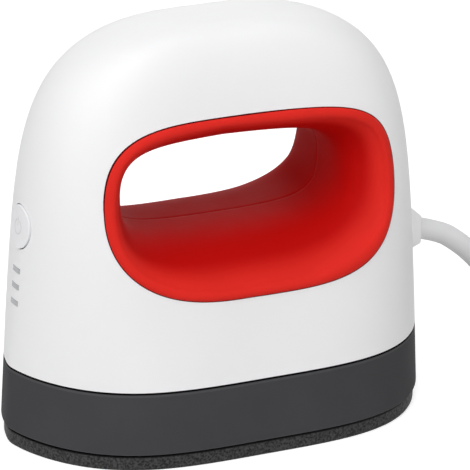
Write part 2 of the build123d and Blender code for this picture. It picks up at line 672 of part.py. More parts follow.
# ---------------------------------------------------------------- boards and controls
def window_heights():
    """Centre heights of the indicator windows, from the top."""
    return [WINDOW_TOP_Z - WINDOW_PITCH * i for i in range(WINDOW_COUNT)]


def window_block(z, grow=0.0):
    """A window's slot through the shell, or its light pipe."""
    return block(-BODY_LENGTH / 2 - 2, GUIDE_FRONT, -WINDOW_WIDTH / 2 - grow, WINDOW_WIDTH / 2 + grow,
                 z - WINDOW_HEIGHT / 2 - grow, z + WINDOW_HEIGHT / 2 + grow)


def light_guide():
    """One milky piece: three windows on a bar, with two pegs to the board."""
    heights = window_heights()
    low, high = min(heights) - GUIDE_END_MARGIN, max(heights) + GUIDE_END_MARGIN
    back, half = GUIDE_FRONT + GUIDE_THICKNESS, WINDOW_WIDTH / 2 + GUIDE_MARGIN
    guide = block(GUIDE_FRONT, back, -half, half, low, high)
    pipes = [window_block(z) for z in heights]
    outside = body_solid()
    for pipe in pipes:
        guide += pipe & outside
    for z in (low + GUIDE_PEG_INSET, high - GUIDE_PEG_INSET):
        guide += rod_x(back, BOARD_FRONT, 0, z, GUIDE_PEG_RADIUS)
    return guide


def indicator_leds():
    """Three small lamps on the board, one behind each window."""
    return [block(BOARD_FRONT - LAMP_DEPTH, BOARD_FRONT, -LAMP_WIDTH / 2, LAMP_WIDTH / 2,
                  z - LAMP_HEIGHT / 2, z + LAMP_HEIGHT / 2) for z in window_heights()]


def power_button():
    """The round cap, flush with the shell's curve, on a wider flange behind the wall."""
    cap = rod_x(-BODY_LENGTH, BUTTON_FLANGE_BACK - BUTTON_NECK, 0, BUTTON_Z, BUTTON_RADIUS)
    cap &= body_solid(-BUTTON_PROUD)
    flange = rod_x(-BODY_LENGTH, BUTTON_FLANGE_BACK, 0, BUTTON_Z, BUTTON_FLANGE_RADIUS)
    flange &= body_solid(SHELL_WALL + BUTTON_FLANGE_GAP)
    return cap + flange


def switch_plunger():
    """The switch's plunger, which the button pushes."""
    return rod_x(BUTTON_FLANGE_BACK, PLUNGER_END, 0, BUTTON_Z, PLUNGER_RADIUS)


def tact_switch():
    """A square push switch, bored for its plunger."""
    half = SWITCH_SIDE / 2
    case = block(BOARD_FRONT - SWITCH_HEIGHT, BOARD_FRONT, -half, half, BUTTON_Z - half, BUTTON_Z + half)
    bore_end = PLUNGER_END + BUTTON_TRAVEL + PLUNGER_END_GAP
    return case - rod_x(BOARD_FRONT - SWITCH_HEIGHT - 1, bore_end, 0, BUTTON_Z, PLUNGER_RADIUS + PLUNGER_GAP)


def control_board():
    """The upright board behind the button and the windows."""
    board = block(BOARD_FRONT, BOARD_BACK, -BOARD_HALF_WIDTH, BOARD_HALF_WIDTH, BOARD_BOTTOM, BOARD_TOP)
    for z in board_screw_heights():
        board -= rod_x(BOARD_FRONT - 1, BOARD_BACK + 1, 0, z, SMALL_SCREW_RADIUS + SCREW_HOLE_GAP)
    return board


def board_screw_heights():
    """Heights of the two screws through the upright board."""
    return BOARD_BOTTOM + BOARD_SCREW_RISE, BOARD_TOP - BOARD_SCREW_DROP


def board_screws():
    """Screws that hold the upright board on its carrier."""
    return [rod_x(BOARD_FRONT, BOARD_BACK + CARRIER_THICKNESS, 0, z, SMALL_SCREW_RADIUS)
            + rod_x(BOARD_FRONT - SMALL_HEAD_HEIGHT, BOARD_FRONT, 0, z, SMALL_HEAD_RADIUS)
            for z in board_screw_heights()]


def carrier_screw_places():
    """Where the carrier's foot is screwed to the deck."""
    x = BOARD_BACK + CARRIER_THICKNESS + CARRIER_FOOT_LENGTH / 2
    return ((x, -CARRIER_SCREW_Y), (x, CARRIER_SCREW_Y))


def board_carrier():
    """A bent bracket: an upright behind the board and a foot on the deck."""
    face, foot_end = BOARD_BACK + CARRIER_THICKNESS, BOARD_BACK + CARRIER_THICKNESS + CARRIER_FOOT_LENGTH
    foot_top = DECK_TOP + CARRIER_THICKNESS
    carrier = block(BOARD_BACK, face, -BOARD_HALF_WIDTH, BOARD_HALF_WIDTH, DECK_TOP, BOARD_TOP)
    carrier += block(BOARD_BACK, foot_end, -BOARD_HALF_WIDTH, BOARD_HALF_WIDTH, DECK_TOP, foot_top)
    for z in board_screw_heights():
        carrier -= rod_x(BOARD_BACK - 1, face + 1, 0, z, SMALL_SCREW_RADIUS)
    for x, y in carrier_screw_places():
        carrier -= post(x, y, DECK_TOP - 1, foot_top + 1, SMALL_SCREW_RADIUS + SCREW_HOLE_GAP)
    return carrier


def carrier_screws():
    """Screws through the carrier's foot into the deck."""
    return [screw_up(x, y, DECK_TOP + CARRIER_THICKNESS, DECK_BOTTOM, SMALL_SCREW_RADIUS,
                     SMALL_HEAD_RADIUS, SMALL_HEAD_HEIGHT) for x, y in carrier_screw_places()]


def power_board_holes():
    """Where the flat board is screwed to the deck's posts."""
    return corners(POWER_BOARD_HALF_LENGTH - POWER_BOARD_HOLE_INSET,
                   POWER_BOARD_HALF_WIDTH - POWER_BOARD_HOLE_INSET)


def power_board():
    """The flat board that holds the mains parts."""
    board = block(-POWER_BOARD_HALF_LENGTH, POWER_BOARD_HALF_LENGTH, -POWER_BOARD_HALF_WIDTH,
                  POWER_BOARD_HALF_WIDTH, POWER_BOARD_Z, POWER_BOARD_TOP)
    for x, y in power_board_holes():
        board -= post(x, y, POWER_BOARD_Z - 1, POWER_BOARD_TOP + 1, SMALL_SCREW_RADIUS + SCREW_HOLE_GAP)
    return board


def power_board_screws():
    """Screws through the flat board into the deck's posts."""
    return [screw_up(x, y, POWER_BOARD_TOP, DECK_TOP, SMALL_SCREW_RADIUS, SMALL_HEAD_RADIUS,
                     SMALL_HEAD_HEIGHT) for x, y in power_board_holes()]


def board_case(x, length, width, height):
    """A plain case that stands on the flat board, centred on its middle line."""
    return block(x - length / 2, x + length / 2, -width / 2, width / 2, POWER_BOARD_TOP,
                 POWER_BOARD_TOP + height)


def relay():
    """The relay that switches the heater."""
    case = board_case(RELAY_X, RELAY_LENGTH, RELAY_WIDTH, RELAY_HEIGHT)
    return fillet(case.edges().filter_by(Axis.Z), CASE_ROUND)


def film_capacitor():
    """The capacitor that drops the mains for the electronics."""
    case = board_case(FILM_X, FILM_LENGTH, FILM_WIDTH, FILM_HEIGHT)
    return fillet(case.edges().group_by(Axis.Z)[-1], CASE_ROUND)


def smoothing_capacitor():
    """An upright can capacitor."""
    can = post(*CAN_PLACE, POWER_BOARD_TOP, POWER_BOARD_TOP + CAN_HEIGHT, CAN_RADIUS)
    return fillet(can.edges().group_by(Axis.Z)[-1], CAN_ROUND)


def terminal_block():
    """A two-way screw terminal on the deck where the cord's wires end."""
    face_x = TERMINAL_X + TERMINAL_LENGTH / 2
    case = block(TERMINAL_X - TERMINAL_LENGTH / 2, face_x, -TERMINAL_WIDTH / 2, TERMINAL_WIDTH / 2,
                 DECK_TOP, DECK_TOP + TERMINAL_HEIGHT)
    for y in (-TERMINAL_Y, TERMINAL_Y):
        case -= post(TERMINAL_X, y, TERMINAL_WELL_BOTTOM, DECK_TOP + TERMINAL_HEIGHT + 1,
                     TERMINAL_SCREW_RADIUS + TERMINAL_WELL_GAP)
        case -= rod_x(TERMINAL_X + TERMINAL_SCREW_RADIUS, face_x + 1, y, TERMINAL_WIRE_Z,
                      WIRE_RADIUS + WIRE_GAP)
    return case


def terminal_screws():
    """The clamp screws of the terminal block."""
    top = TERMINAL_WELL_BOTTOM + TERMINAL_SCREW_LENGTH
    return [post(TERMINAL_X, y, TERMINAL_WELL_BOTTOM, top, TERMINAL_SCREW_RADIUS)
            for y in (-TERMINAL_Y, TERMINAL_Y)]


# ---------------------------------------------------------------- wires, gland, cord and plug
def mains_leads():
    """The cord's two wires, from the gland down to the terminal block."""
    terminal_face = TERMINAL_X + TERMINAL_LENGTH / 2
    leads = []
    for side in (-1, 1):
        start_y, end_y = side * (WIRE_RADIUS + WIRE_GAP), side * TERMINAL_Y
        route = ((GLAND_INNER_X, start_y, GLAND_Z), (GLAND_INNER_X - 5.0, start_y, GLAND_Z),
                 (GLAND_INNER_X - 8.0, (start_y + end_y) / 2, GLAND_Z - 8.3),
                 (terminal_face + 3.5, end_y, TERMINAL_WIRE_Z),
                 (terminal_face - TERMINAL_LENGTH / 4, end_y, TERMINAL_WIRE_Z))
        leads.append(wire_path(route, WIRE_RADIUS, WIRE_BENDS))
    return leads


def strain_relief():
    """The moulded gland: a collar outside, a neck through the wall and a flange inside."""
    collar = [
        (0, GLAND_COLLAR_X), (GLAND_COLLAR_RADIUS, GLAND_COLLAR_X), (GLAND_COLLAR_RADIUS, GLAND_CONE_X),
        (GLAND_FACE_RADIUS + GLAND_FACE_ROUND, GLAND_FACE_X - GLAND_FACE_ROUND),
        (GLAND_FACE_RADIUS, GLAND_FACE_X), (0, GLAND_FACE_X),
    ]
    profile = Polyline(*[(x, 0, r + GLAND_Z) for r, x in collar], close=True)
    outside = revolve(make_face(profile), axis=Axis((0, 0, GLAND_Z), (1, 0, 0)))
    outside -= body_solid(-GLAND_WALL_GAP)
    neck = rod_x(GLAND_INNER_X, GLAND_CONE_X, 0, GLAND_Z, GLAND_NECK_RADIUS)
    flange = rod_x(GLAND_INNER_X, GLAND_CONE_X, 0, GLAND_Z, GLAND_FLANGE_RADIUS)
    flange &= body_solid(SHELL_WALL + GLAND_FLANGE_GAP)
    return outside + neck + flange


def cord_tube(route):
    """A round cord along straight runs joined by arcs as large as the runs allow."""
    points = [Vector(*point) for point in route]
    radii = []
    for before, corner, after in zip(points, points[1:], points[2:]):
        run_in, run_out = corner - before, after - corner
        half_turn = radians(run_in.get_angle(run_out)) / 2
        radii.append(0.45 * min(run_in.length, run_out.length) / tan(half_turn))
    path = FilletPolyline(*route, radius=radii)
    tube = sweep(Plane(origin=path @ 0, z_dir=path % 0) * Circle(CORD_DIAMETER / 2), path=path)
    section = pi * CORD_DIAMETER**2 / 4
    print("cord", round(path.length, 1), "mm, radii", [round(r, 1) for r in radii],
          "volume over section x length", round(tube.volume / section / path.length, 4))
    return tube


def coil_section(grow=0.0, floor=0.0):
    """The coil's cross-section as a rounded rectangle."""
    width, height = COIL_TURNS_WIDE * CORD_DIAMETER, COIL_TURNS_HIGH * CORD_DIAMETER
    centre = (COIL_X + COIL_RADIUS, COIL_Y, (height + floor + grow) / 2)
    sheet = RectangleRounded(width + 2 * grow, height + grow - floor, CORD_DIAMETER / 2)
    return Plane(origin=centre, x_dir=(1, 0, 0), z_dir=(0, -1, 0)) * sheet


def tie_band():
    """The strap round the coil's turns."""
    band = coil_section(TIE_THICKNESS) - coil_section(0.0, TIE_THICKNESS)
    tie = extrude(band, amount=TIE_WIDTH / 2, both=True)
    return Pos(COIL_X, COIL_Y, 0) * Rot(0, 0, TIE_ANGLE) * Pos(-COIL_X, -COIL_Y, 0) * tie


def cord_coil():
    """The outer form of the coiled length."""
    axis = Axis((COIL_X, COIL_Y, 0), (0, 0, 1))
    return revolve(coil_section(), axis=axis) - tie_band()


def plug_body():
    """A flat two-pin plug with a ribbed bend relief, lying on its broad side."""
    x0, y0, z0 = CORD_TAIL_ROUTE[-1]
    neck_x, face_x = x0 - PLUG_RELIEF_LENGTH, plug_face_x()
    shoulder_x = neck_x - PLUG_SHOULDER_LENGTH
    half, neck = PLUG_BODY_WIDTH / 2, PLUG_NECK_WIDTH / 2
    plan = Polyline((neck_x, y0 - neck), (shoulder_x, y0 - half), (face_x, y0 - half),
                    (face_x, y0 + half), (shoulder_x, y0 + half), (neck_x, y0 + neck), close=True)
    body = extrude(Pos(0, 0, z0 - PLUG_BODY_THICKNESS / 2) * make_face(plan), amount=PLUG_BODY_THICKNESS)
    broad = body.edges().filter_by(Axis.Z).filter_by_position(Axis.X, face_x - 1, shoulder_x + 1)
    body = fillet(broad, PLUG_CORNER_ROUND)
    edges = body.edges().group_by(Axis.Z)
    body = chamfer(edges[0] + edges[-1], PLUG_EDGE_CHAMFER)
    body += plug_relief(x0, y0, z0)
    for y in pin_places():
        body -= rod_x(face_x - 1, face_x + PIN_SEAT, y, z0, PIN_ROOT_RADIUS)
    return body


def plug_relief(x0, y0, z0):
    """The ribbed cone round the cord where it enters the plug."""
    core = CORD_DIAMETER / 2
    cone = Cone(PLUG_RELIEF_RADIUS, core + PLUG_RELIEF_WALL, PLUG_RELIEF_LENGTH)
    cone = Pos(x0 - PLUG_RELIEF_LENGTH / 2, y0, z0) * Rot(0, 90, 0) * cone
    for i in range(PLUG_RIB_COUNT):
        x, half = x0 - PLUG_RIB_START - PLUG_RIB_PITCH * i, PLUG_GROOVE_WIDTH / 2
        ring = rod_x(x - half, x + half, y0, z0, 2 * PLUG_RELIEF_RADIUS)
        cone -= ring - rod_x(x - half, x + half, y0, z0, core + PLUG_RELIEF_WALL / 2)
    return cone


def plug_face_x():
    """The X place of the face that the pins stand on."""
    return CORD_TAIL_ROUTE[-1][0] - PLUG_RELIEF_LENGTH - PLUG_BODY_LENGTH


def pin_places():
    """The Y places of the two pins."""
    y0 = CORD_TAIL_ROUTE[-1][1]
    return y0 - PIN_SPACING / 2, y0 + PIN_SPACING / 2


def plug_pins():
    """Two round pins with domed tips and slimmer roots, seated in the plug."""
    z0, face_x = CORD_TAIL_ROUTE[-1][2], plug_face_x()
    pins = []
    for y in pin_places():
        pin = rod_x(face_x - PIN_LENGTH, face_x - PIN_ROOT_LENGTH, y, z0, PIN_RADIUS)
        pin = fillet(pin.edges().sort_by(Axis.X)[0], PIN_TIP_ROUND)
        pins.append(pin + rod_x(face_x - PIN_ROOT_LENGTH, face_x + PIN_SEAT, y, z0, PIN_ROOT_RADIUS))
    return pins


# ---------------------------------------------------------------- output
PIECES = {
    "outer_shell": outer_shell,
    "handle_liner_front": lambda: liner_half(-1),
    "handle_liner_rear": lambda: liner_half(1),
    "liner_screws": liner_screws,
    "base_skirt": base_skirt,
    "skirt_screws": skirt_screws,
    "heat_plate": heat_plate,
    "heating_element": lambda: element_tube(ELEMENT_RADIUS, ELEMENT_END_X),
    "element_terminals": element_terminals,
    "element_clamps": element_clamps,
    "clamp_screws": clamp_screws,
    "temperature_sensor": temperature_sensor,
    "thermal_fuse": thermal_fuse,
    "sensor_clips": sensor_clips,
    "insulation_sheet": insulation_sheet,
    "heat_shield": heat_shield,
    "plate_standoffs": plate_standoffs,
    "plate_screws": plate_screws,
    "power_button": power_button,
    "switch_plunger": switch_plunger,
    "tact_switch": tact_switch,
    "light_guide": light_guide,
    "indicator_leds": indicator_leds,
    "control_board": control_board,
    "board_screws": board_screws,
    "board_carrier": board_carrier,
    "carrier_screws": carrier_screws,
    "power_board": power_board,
    "power_board_screws": power_board_screws,
    "relay": relay,
    "film_capacitor": film_capacitor,
    "smoothing_capacitor": smoothing_capacitor,
    "terminal_block": terminal_block,
    "terminal_screws": terminal_screws,
    "mains_leads": mains_leads,
    "strain_relief": strain_relief,
    "power_cord": lambda: cord_tube(CORD_ROUTE),
    "cord_coil": cord_coil,
    "coil_tie": tie_band,
    "cord_tail": lambda: cord_tube(CORD_TAIL_ROUTE),
    "plug_body": plug_body,
    "plug_pins": plug_pins,
}


def main():
    """Build each piece and write it to its own file."""
    os.makedirs("parts", exist_ok=True)
    for name, make in PIECES.items():
        made = make()
        solids = made if isinstance(made, list) else [made]
        export_step(Compound([s for shape in solids for s in shape.solids()]), f"parts/{name}.step")


if __name__ == "__main__":
    main()
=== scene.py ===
"""Dresses the mini heat press: camera and mains lead first, then studio, liner and finishes."""

from __future__ import annotations

import logging
import math
from collections.abc import Iterable, Sequence
from dataclasses import dataclass, field
from enum import Enum

import bmesh
import bpy
from mathutils import Matrix, Vector

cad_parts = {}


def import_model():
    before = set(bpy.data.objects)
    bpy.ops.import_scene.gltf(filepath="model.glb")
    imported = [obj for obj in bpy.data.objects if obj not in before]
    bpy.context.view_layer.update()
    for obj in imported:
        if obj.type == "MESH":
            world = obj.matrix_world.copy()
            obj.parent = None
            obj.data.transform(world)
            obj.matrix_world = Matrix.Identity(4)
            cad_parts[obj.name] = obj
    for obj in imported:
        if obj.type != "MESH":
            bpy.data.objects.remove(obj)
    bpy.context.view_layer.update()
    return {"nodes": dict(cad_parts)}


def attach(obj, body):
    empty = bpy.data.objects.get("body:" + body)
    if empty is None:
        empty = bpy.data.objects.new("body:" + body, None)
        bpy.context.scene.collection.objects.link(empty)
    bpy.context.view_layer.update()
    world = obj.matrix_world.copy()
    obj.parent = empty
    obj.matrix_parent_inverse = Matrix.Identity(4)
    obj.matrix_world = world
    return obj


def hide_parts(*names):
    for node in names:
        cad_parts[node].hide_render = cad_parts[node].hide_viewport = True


LOG = logging.getLogger("press")
MM = 0.001
BODY = "press"

Colour = tuple[float, float, float]
Point = tuple[float, float, float]
Pair = tuple[float, float]

WHITE: Colour = (1.0, 1.0, 1.0)
UNSTRETCHED: Point = (1.0, 1.0, 1.0)
SCREEN_LEVELS = 255
SRGB_KNEE, SRGB_SLOPE, SRGB_OFFSET, SRGB_POWER = 0.04045, 12.92, 0.055, 2.4
NEARLY_PARALLEL = 1e-9


# ------------------------------------------------------------------ small helpers
def srgb(red: int, green: int, blue: int) -> Colour:
    """Turns screen values from 0 to 255 into a linear colour.

    Args:
        red: Red on screen.
        green: Green on screen.
        blue: Blue on screen.

    Returns:
        The colour as three linear numbers.
    """
    shares = (value / SCREEN_LEVELS for value in (red, green, blue))
    return tuple(share / SRGB_SLOPE if share <= SRGB_KNEE
                 else ((share + SRGB_OFFSET) / (1 + SRGB_OFFSET)) ** SRGB_POWER
                 for share in shares)


def scaled(colour: Colour, factor: float) -> Colour:
    """Returns the colour made lighter or darker by a factor."""
    return tuple(min(1.0, part * factor) for part in colour)


def ease(share: float) -> float:
    """Returns a share from 0 to 1 with soft ends."""
    held = min(1.0, max(0.0, share))
    return held * held * (3 - 2 * held)


def mesh_object(name: str, points: Sequence[Point],
                faces: Sequence[Sequence[int]]) -> bpy.types.Object:
    """Makes a smooth-shaded mesh object.

    Args:
        name: The piece's name.
        points: Corners in metres.
        faces: Corner numbers of each face.

    Returns:
        The new object, linked to the scene.
    """
    mesh = bpy.data.meshes.new(name)
    mesh.from_pydata(list(points), [], list(faces))
    shape = bmesh.new()
    shape.from_mesh(mesh)
    bmesh.ops.recalc_face_normals(shape, faces=shape.faces)
    for face in shape.faces:
        face.smooth = True
    shape.to_mesh(mesh)
    shape.free()
    made = bpy.data.objects.new(name, mesh)
    bpy.context.scene.collection.objects.link(made)
    return made


def closed_grid(rows: Sequence[Sequence[Point]]) -> list[tuple[int, int, int, int]]:
    """Faces of a grid that closes on itself both ways, like a ring's skin.

    Args:
        rows: Rows of points, all as long as each other.

    Returns:
        Four-cornered faces over the rows' points taken in order.
    """
    count, width = len(rows), len(rows[0])
    faces = []
    for i in range(count):
        for j in range(width):
            after, beside = (i + 1) % count, (j + 1) % width
            faces.append((i * width + j, i * width + beside,
                          after * width + beside, after * width + j))
    return faces


# ------------------------------------------------------------------ shader maths
class NodeSheet:
    """A node tree with one way to add a node."""

    def __init__(self, tree: bpy.types.NodeTree) -> None:
        """Starts from an empty tree."""
        self.tree = tree
        tree.nodes.clear()

    def node(self, kind: str, settings: dict | None = None,
             inputs: dict | None = None) -> bpy.types.Node:
        """Adds a node, sets it up and feeds its sockets.

        Args:
            kind: The node's type, without the ShaderNode that starts it.
            settings: Properties such as a Math node's operation, which are set first.
            inputs: Values or signals by the socket's name or number.

        Returns:
            The new node.
        """
        made = self.tree.nodes.new("ShaderNode" + kind)
        for name, value in (settings or {}).items():
            setattr(made, name, value)
        for name, value in (inputs or {}).items():
            socket = made.inputs[name]
            if isinstance(value, Signal):
                self.tree.links.new(value.socket, socket)
            elif socket.type == "RGBA":
                socket.default_value = (*value, 1.0)
            else:
                socket.default_value = value
        return made

    def maths(self, operation: str, *values: Signal | float) -> Signal:
        """Adds a Math node and returns its result."""
        made = self.node("Math", {"operation": operation}, dict(enumerate(values)))
        return Signal(self, made.outputs[0])

    def mix(self, share: Signal | float, low: Signal | Colour, high: Signal | Colour) -> Signal:
        """Mixes two colours by a share from 0 to 1."""
        made = self.node("Mix", {"data_type": "RGBA"}, {0: share, 6: low, 7: high})
        return Signal(self, made.outputs[2])

    def place(self, stretch: Point = UNSTRETCHED) -> Signal:
        """Finds where on the piece a ray lands.

        Args:
            stretch: Factors for the three coordinates.

        Returns:
            The surface point in metres, stretched along each axis.
        """
        spot = self.node("TexCoord").outputs["Object"]
        if stretch == UNSTRETCHED:
            return Signal(self, spot)
        made = self.node("Mapping", {}, {"Vector": Signal(self, spot), "Scale": stretch})
        return Signal(self, made.outputs[0])

    def axis(self, name: str) -> Signal:
        """Returns one coordinate of the surface point, in millimetres."""
        parts = self.node("SeparateXYZ", {}, {0: self.place()})
        return Signal(self, parts.outputs[name]) / MM

    def noise(self, size_mm: float, detail: float = 2.0, stretch: Point = UNSTRETCHED) -> Signal:
        """Returns noise from 0 to 1 with features of about that size."""
        inputs = {"Vector": self.place(stretch), "Scale": 1 / (size_mm * MM), "Detail": detail}
        return Signal(self, self.node("TexNoise", {}, inputs).outputs[0])

    def cells(self, size_mm: float) -> Signal:
        """Returns the distance to the nearest of many scattered points, in cells."""
        inputs = {"Vector": self.place(), "Scale": 1 / (size_mm * MM)}
        return Signal(self, self.node("TexVoronoi", {}, inputs).outputs["Distance"])


@dataclass(frozen=True)
class Signal:
    """A socket's value, which takes part in Python sums."""

    sheet: NodeSheet
    socket: bpy.types.NodeSocket

    def __add__(self, other: Signal | float) -> Signal:
        """Sum."""
        return self.sheet.maths("ADD", self, other)

    __radd__ = __add__

    def __sub__(self, other: Signal | float) -> Signal:
        """Difference."""
        return self.sheet.maths("SUBTRACT", self, other)

    def __rsub__(self, other: float) -> Signal:
        """Difference from a number."""
        return self.sheet.maths("SUBTRACT", other, self)

    def __mul__(self, other: Signal | float) -> Signal:
        """Product."""
        return self.sheet.maths("MULTIPLY", self, other)

    __rmul__ = __mul__

    def __truediv__(self, other: Signal | float) -> Signal:
        """Quotient."""
        return self.sheet.maths("DIVIDE", self, other)

    def __pow__(self, other: float) -> Signal:
        """Power."""
        return self.sheet.maths("POWER", self, other)

    def __abs__(self) -> Signal:
        """Size without sign."""
        return self.sheet.maths("ABSOLUTE", self)

    def most(self, other: Signal | float) -> Signal:
        """The greater of two."""
        return self.sheet.maths("MAXIMUM", self, other)

    def step(self, low: float, high: float) -> Signal:
        """Rises softly from 0 to 1.

        Args:
            low: The value up to which the result is 0.
            high: The value from which the result is 1.

        Returns:
            The result, from 0 to 1.
        """
        inputs = {"Value": self, "From Min": low, "From Max": high}
        made = self.sheet.node("MapRange", {"interpolation_type": "SMOOTHSTEP"}, inputs)
        return Signal(self.sheet, made.outputs[0])


# ------------------------------------------------------------------ finishes
class Grain(Enum):
    """How a surface's finest relief is laid out."""

    FINE = "fine"
    PEBBLED = "pebbled"
    BRUSHED = "brushed"
    WOVEN = "woven"


@dataclass(frozen=True)
class PaintedLightBand:
    """A level strip of a piece whose colour is scaled: a painted highlight along an edge or
    painted shadow in a joint. Millimetres.
    """

    low: float
    high: float
    tone: float
    soft: float = 0.06

    def mask(self, height: Signal) -> Signal:
        """1 inside the strip and 0 outside it."""
        rising = height.step(self.low - self.soft, self.low)
        return rising * (1 - height.step(self.high, self.high + self.soft))


@dataclass(frozen=True)
class Finish:
    """A moulded, cast, drawn or woven surface.

    Sizes are in millimetres and colours are linear. Spreads are shares of the value they vary.
    """

    name: str
    colour: Colour
    roughness: float = 0.45
    metallic: float = 0.0
    tone_spread: float = 0.03
    tone_size: float = 9.0
    tone_edge: Pair = (0.3, 0.7)
    rough_spread: float = 0.10
    rough_size: float = 3.0
    grain: Grain = Grain.FINE
    grain_size: float = 0.35
    grain_depth: float = 0.006
    coarse_ratio: float = 4.0
    coarse_share: float = 0.4
    pebble_edge: Pair = (0.05, 0.65)
    pebble_share: float = 0.7
    dust_ratio: float = 3.0
    brush_stretch: Point = (0.04, 1.0, 1.0)
    coat: float = 0.0
    coat_roughness: float = 0.2
    glow_through: float = 0.0
    glow_depth: float = 1.0
    specular: float = 0.5
    painted_light_bands: tuple[PaintedLightBand, ...] = ()

    def relief(self, sheet: NodeSheet) -> Signal:
        """Lays out the finest relief.

        Args:
            sheet: The material's node tree.

        Returns:
            The relief's height, from 0 to 1.
        """
        if self.grain is Grain.PEBBLED:
            pebbles = sheet.cells(self.grain_size).step(*self.pebble_edge)
            dust = sheet.noise(self.grain_size / self.dust_ratio)
            return pebbles * self.pebble_share + dust * (1 - self.pebble_share)
        if self.grain is Grain.BRUSHED:
            return sheet.noise(self.grain_size, detail=3.0, stretch=self.brush_stretch)
        if self.grain is Grain.WOVEN:
            turns = math.tau / self.grain_size
            across, along = sheet.axis("X") + sheet.axis("Y"), sheet.axis("Z")
            threads = sheet.maths("SINE", across * turns) * sheet.maths("SINE", along * turns)
            return abs(threads)
        fine = sheet.noise(self.grain_size)
        coarse = sheet.noise(self.grain_size * self.coarse_ratio, detail=1.0)
        return fine * (1 - self.coarse_share) + coarse * self.coarse_share

    def shade(self, sheet: NodeSheet) -> Signal:
        """Varies the colour over the surface.

        Args:
            sheet: The material's node tree.

        Returns:
            The colour, with its clouds and its strips of painted highlight and painted shadow.
        """
        dark = scaled(self.colour, 1 - self.tone_spread)
        light = scaled(self.colour, 1 + self.tone_spread)
        clouds = sheet.noise(self.tone_size, detail=3.0).step(*self.tone_edge)
        tone = sheet.mix(clouds, dark, light)
        # Painted highlights and painted shadow: level strips made lighter or darker than the
        # colour.
        for band in self.painted_light_bands:
            tone = sheet.mix(band.mask(sheet.axis("Z")), tone, scaled(self.colour, band.tone))
        return tone

    def gloss(self, sheet: NodeSheet) -> Signal:
        """Roughness over the surface."""
        swing = sheet.noise(self.rough_size) - 0.5
        return swing * (2 * self.rough_spread * self.roughness) + self.roughness

    def make(self) -> bpy.types.Material:
        """Builds the material.

        Returns:
            The material, ready to be put on a piece.
        """
        material = bpy.data.materials.new(self.name)
        material.use_nodes = True
        sheet = NodeSheet(material.node_tree)
        bump = {"Height": self.relief(sheet), "Distance": self.grain_depth * MM, "Strength": 1.0}
        inputs = {
            "Base Color": self.shade(sheet),
            "Roughness": self.gloss(sheet),
            "Metallic": self.metallic,
            "Specular IOR Level": self.specular,
            "Coat Weight": self.coat,
            "Coat Roughness": self.coat_roughness,
            "Subsurface Weight": self.glow_through,
            "Subsurface Radius": WHITE,
            "Subsurface Scale": self.glow_depth * MM,
            "Normal": Signal(sheet, sheet.node("Bump", {}, bump).outputs[0]),
        }
        surface = sheet.node("BsdfPrincipled", {}, inputs)
        sheet.node("OutputMaterial", {}, {"Surface": Signal(sheet, surface.outputs[0])})
        material.diffuse_color = (*self.colour, 1.0)
        return material


@dataclass(frozen=True)
class LinerFinish(Finish):
    """The liner's plastic: bright on the bead, with painted shade that darkens the red in the
    scoop. Millimetres.
    """

    painted_shade_colour: Colour = (0.5, 0.0, 0.0)
    side_at_floor: float = 35.67
    side_slope: float = 0.1967
    end_length: float = 36.0
    end_narrowing: float = 0.16
    painted_shade_share: Pair = (0.79, 1.0)

    def shade(self, sheet: NodeSheet) -> Signal:
        """Paints shade: darkens and deepens the colour away from the shell's face.

        Args:
            sheet: The material's node tree.

        Returns:
            The colour with painted shade, by a point's depth as a share of the shell's half width
            there.
        """
        along = (sheet.axis("X") / self.end_length) ** 2
        half = self.side_at_floor - sheet.axis("Z") * self.side_slope
        half = half * (1 - along * along * self.end_narrowing)
        clear_of_painted_shade = (abs(sheet.axis("Y")) / half).step(*self.painted_shade_share)
        return sheet.mix(clear_of_painted_shade, self.painted_shade_colour, super().shade(sheet))


@dataclass(frozen=True)
class ButtonFinish(Finish):
    """The cap's plastic, with the common standby sign sunk faintly into its face."""

    sign_z: float = 54.9
    sign_radius: float = 1.75
    sign_line: float = 0.34
    sign_soft: float = 0.08
    sign_gap: float = 0.62
    sign_bar: Pair = (0.35, 2.35)
    sign_depth: float = 8.0
    sign_tone: float = 0.80

    def sign(self, sheet: NodeSheet) -> Signal:
        """Draws the broken ring and its bar.

        Args:
            sheet: The material's node tree.

        Returns:
            1 on the sign's lines and 0 beside them.
        """
        across, up = sheet.axis("Y"), sheet.axis("Z") - self.sign_z
        radius = sheet.maths("SQRT", across * across + up * up)
        half, soft = self.sign_line / 2, self.sign_soft
        ring = 1 - abs(radius - self.sign_radius).step(half - soft, half + soft)
        beside = abs(across).step(self.sign_gap - soft, self.sign_gap + soft)
        open_top = beside.most(1 - up.step(0.0, soft))
        bar = 1 - abs(across).step(half - soft, half + soft)
        low, high = self.sign_bar
        bar = bar * up.step(low - soft, low + soft) * (1 - up.step(high - soft, high + soft))
        return (ring * open_top).most(bar)

    def shade(self, sheet: NodeSheet) -> Signal:
        """Colour over the cap, darker on the sign."""
        dark = scaled(self.colour, self.sign_tone)
        return sheet.mix(self.sign(sheet), super().shade(sheet), dark)

    def relief(self, sheet: NodeSheet) -> Signal:
        """Fine grain with the sign sunk below it."""
        return super().relief(sheet) - self.sign(sheet) * self.sign_depth


@dataclass(frozen=True)
class BoardFinish(Finish):
    """Glass-fibre board under green lacquer, with copper tracks showing through."""

    track_pitch: float = 2.54
    track_edge: Pair = (0.55, 0.75)
    track_tone: float = 1.6
    bend_size: float = 6.0
    bend_reach: float = 2.5

    def shade(self, sheet: NodeSheet) -> Signal:
        """Lays tracks under the lacquer.

        Args:
            sheet: The material's node tree.

        Returns:
            The colour, lighter over the tracks.
        """
        turns = math.tau / self.track_pitch
        bend = sheet.noise(self.bend_size, detail=1.0) * self.bend_reach
        lanes = sheet.maths("SINE", (sheet.axis("Y") + bend) * turns).step(*self.track_edge)
        return sheet.mix(lanes, super().shade(sheet), scaled(self.colour, self.track_tone))


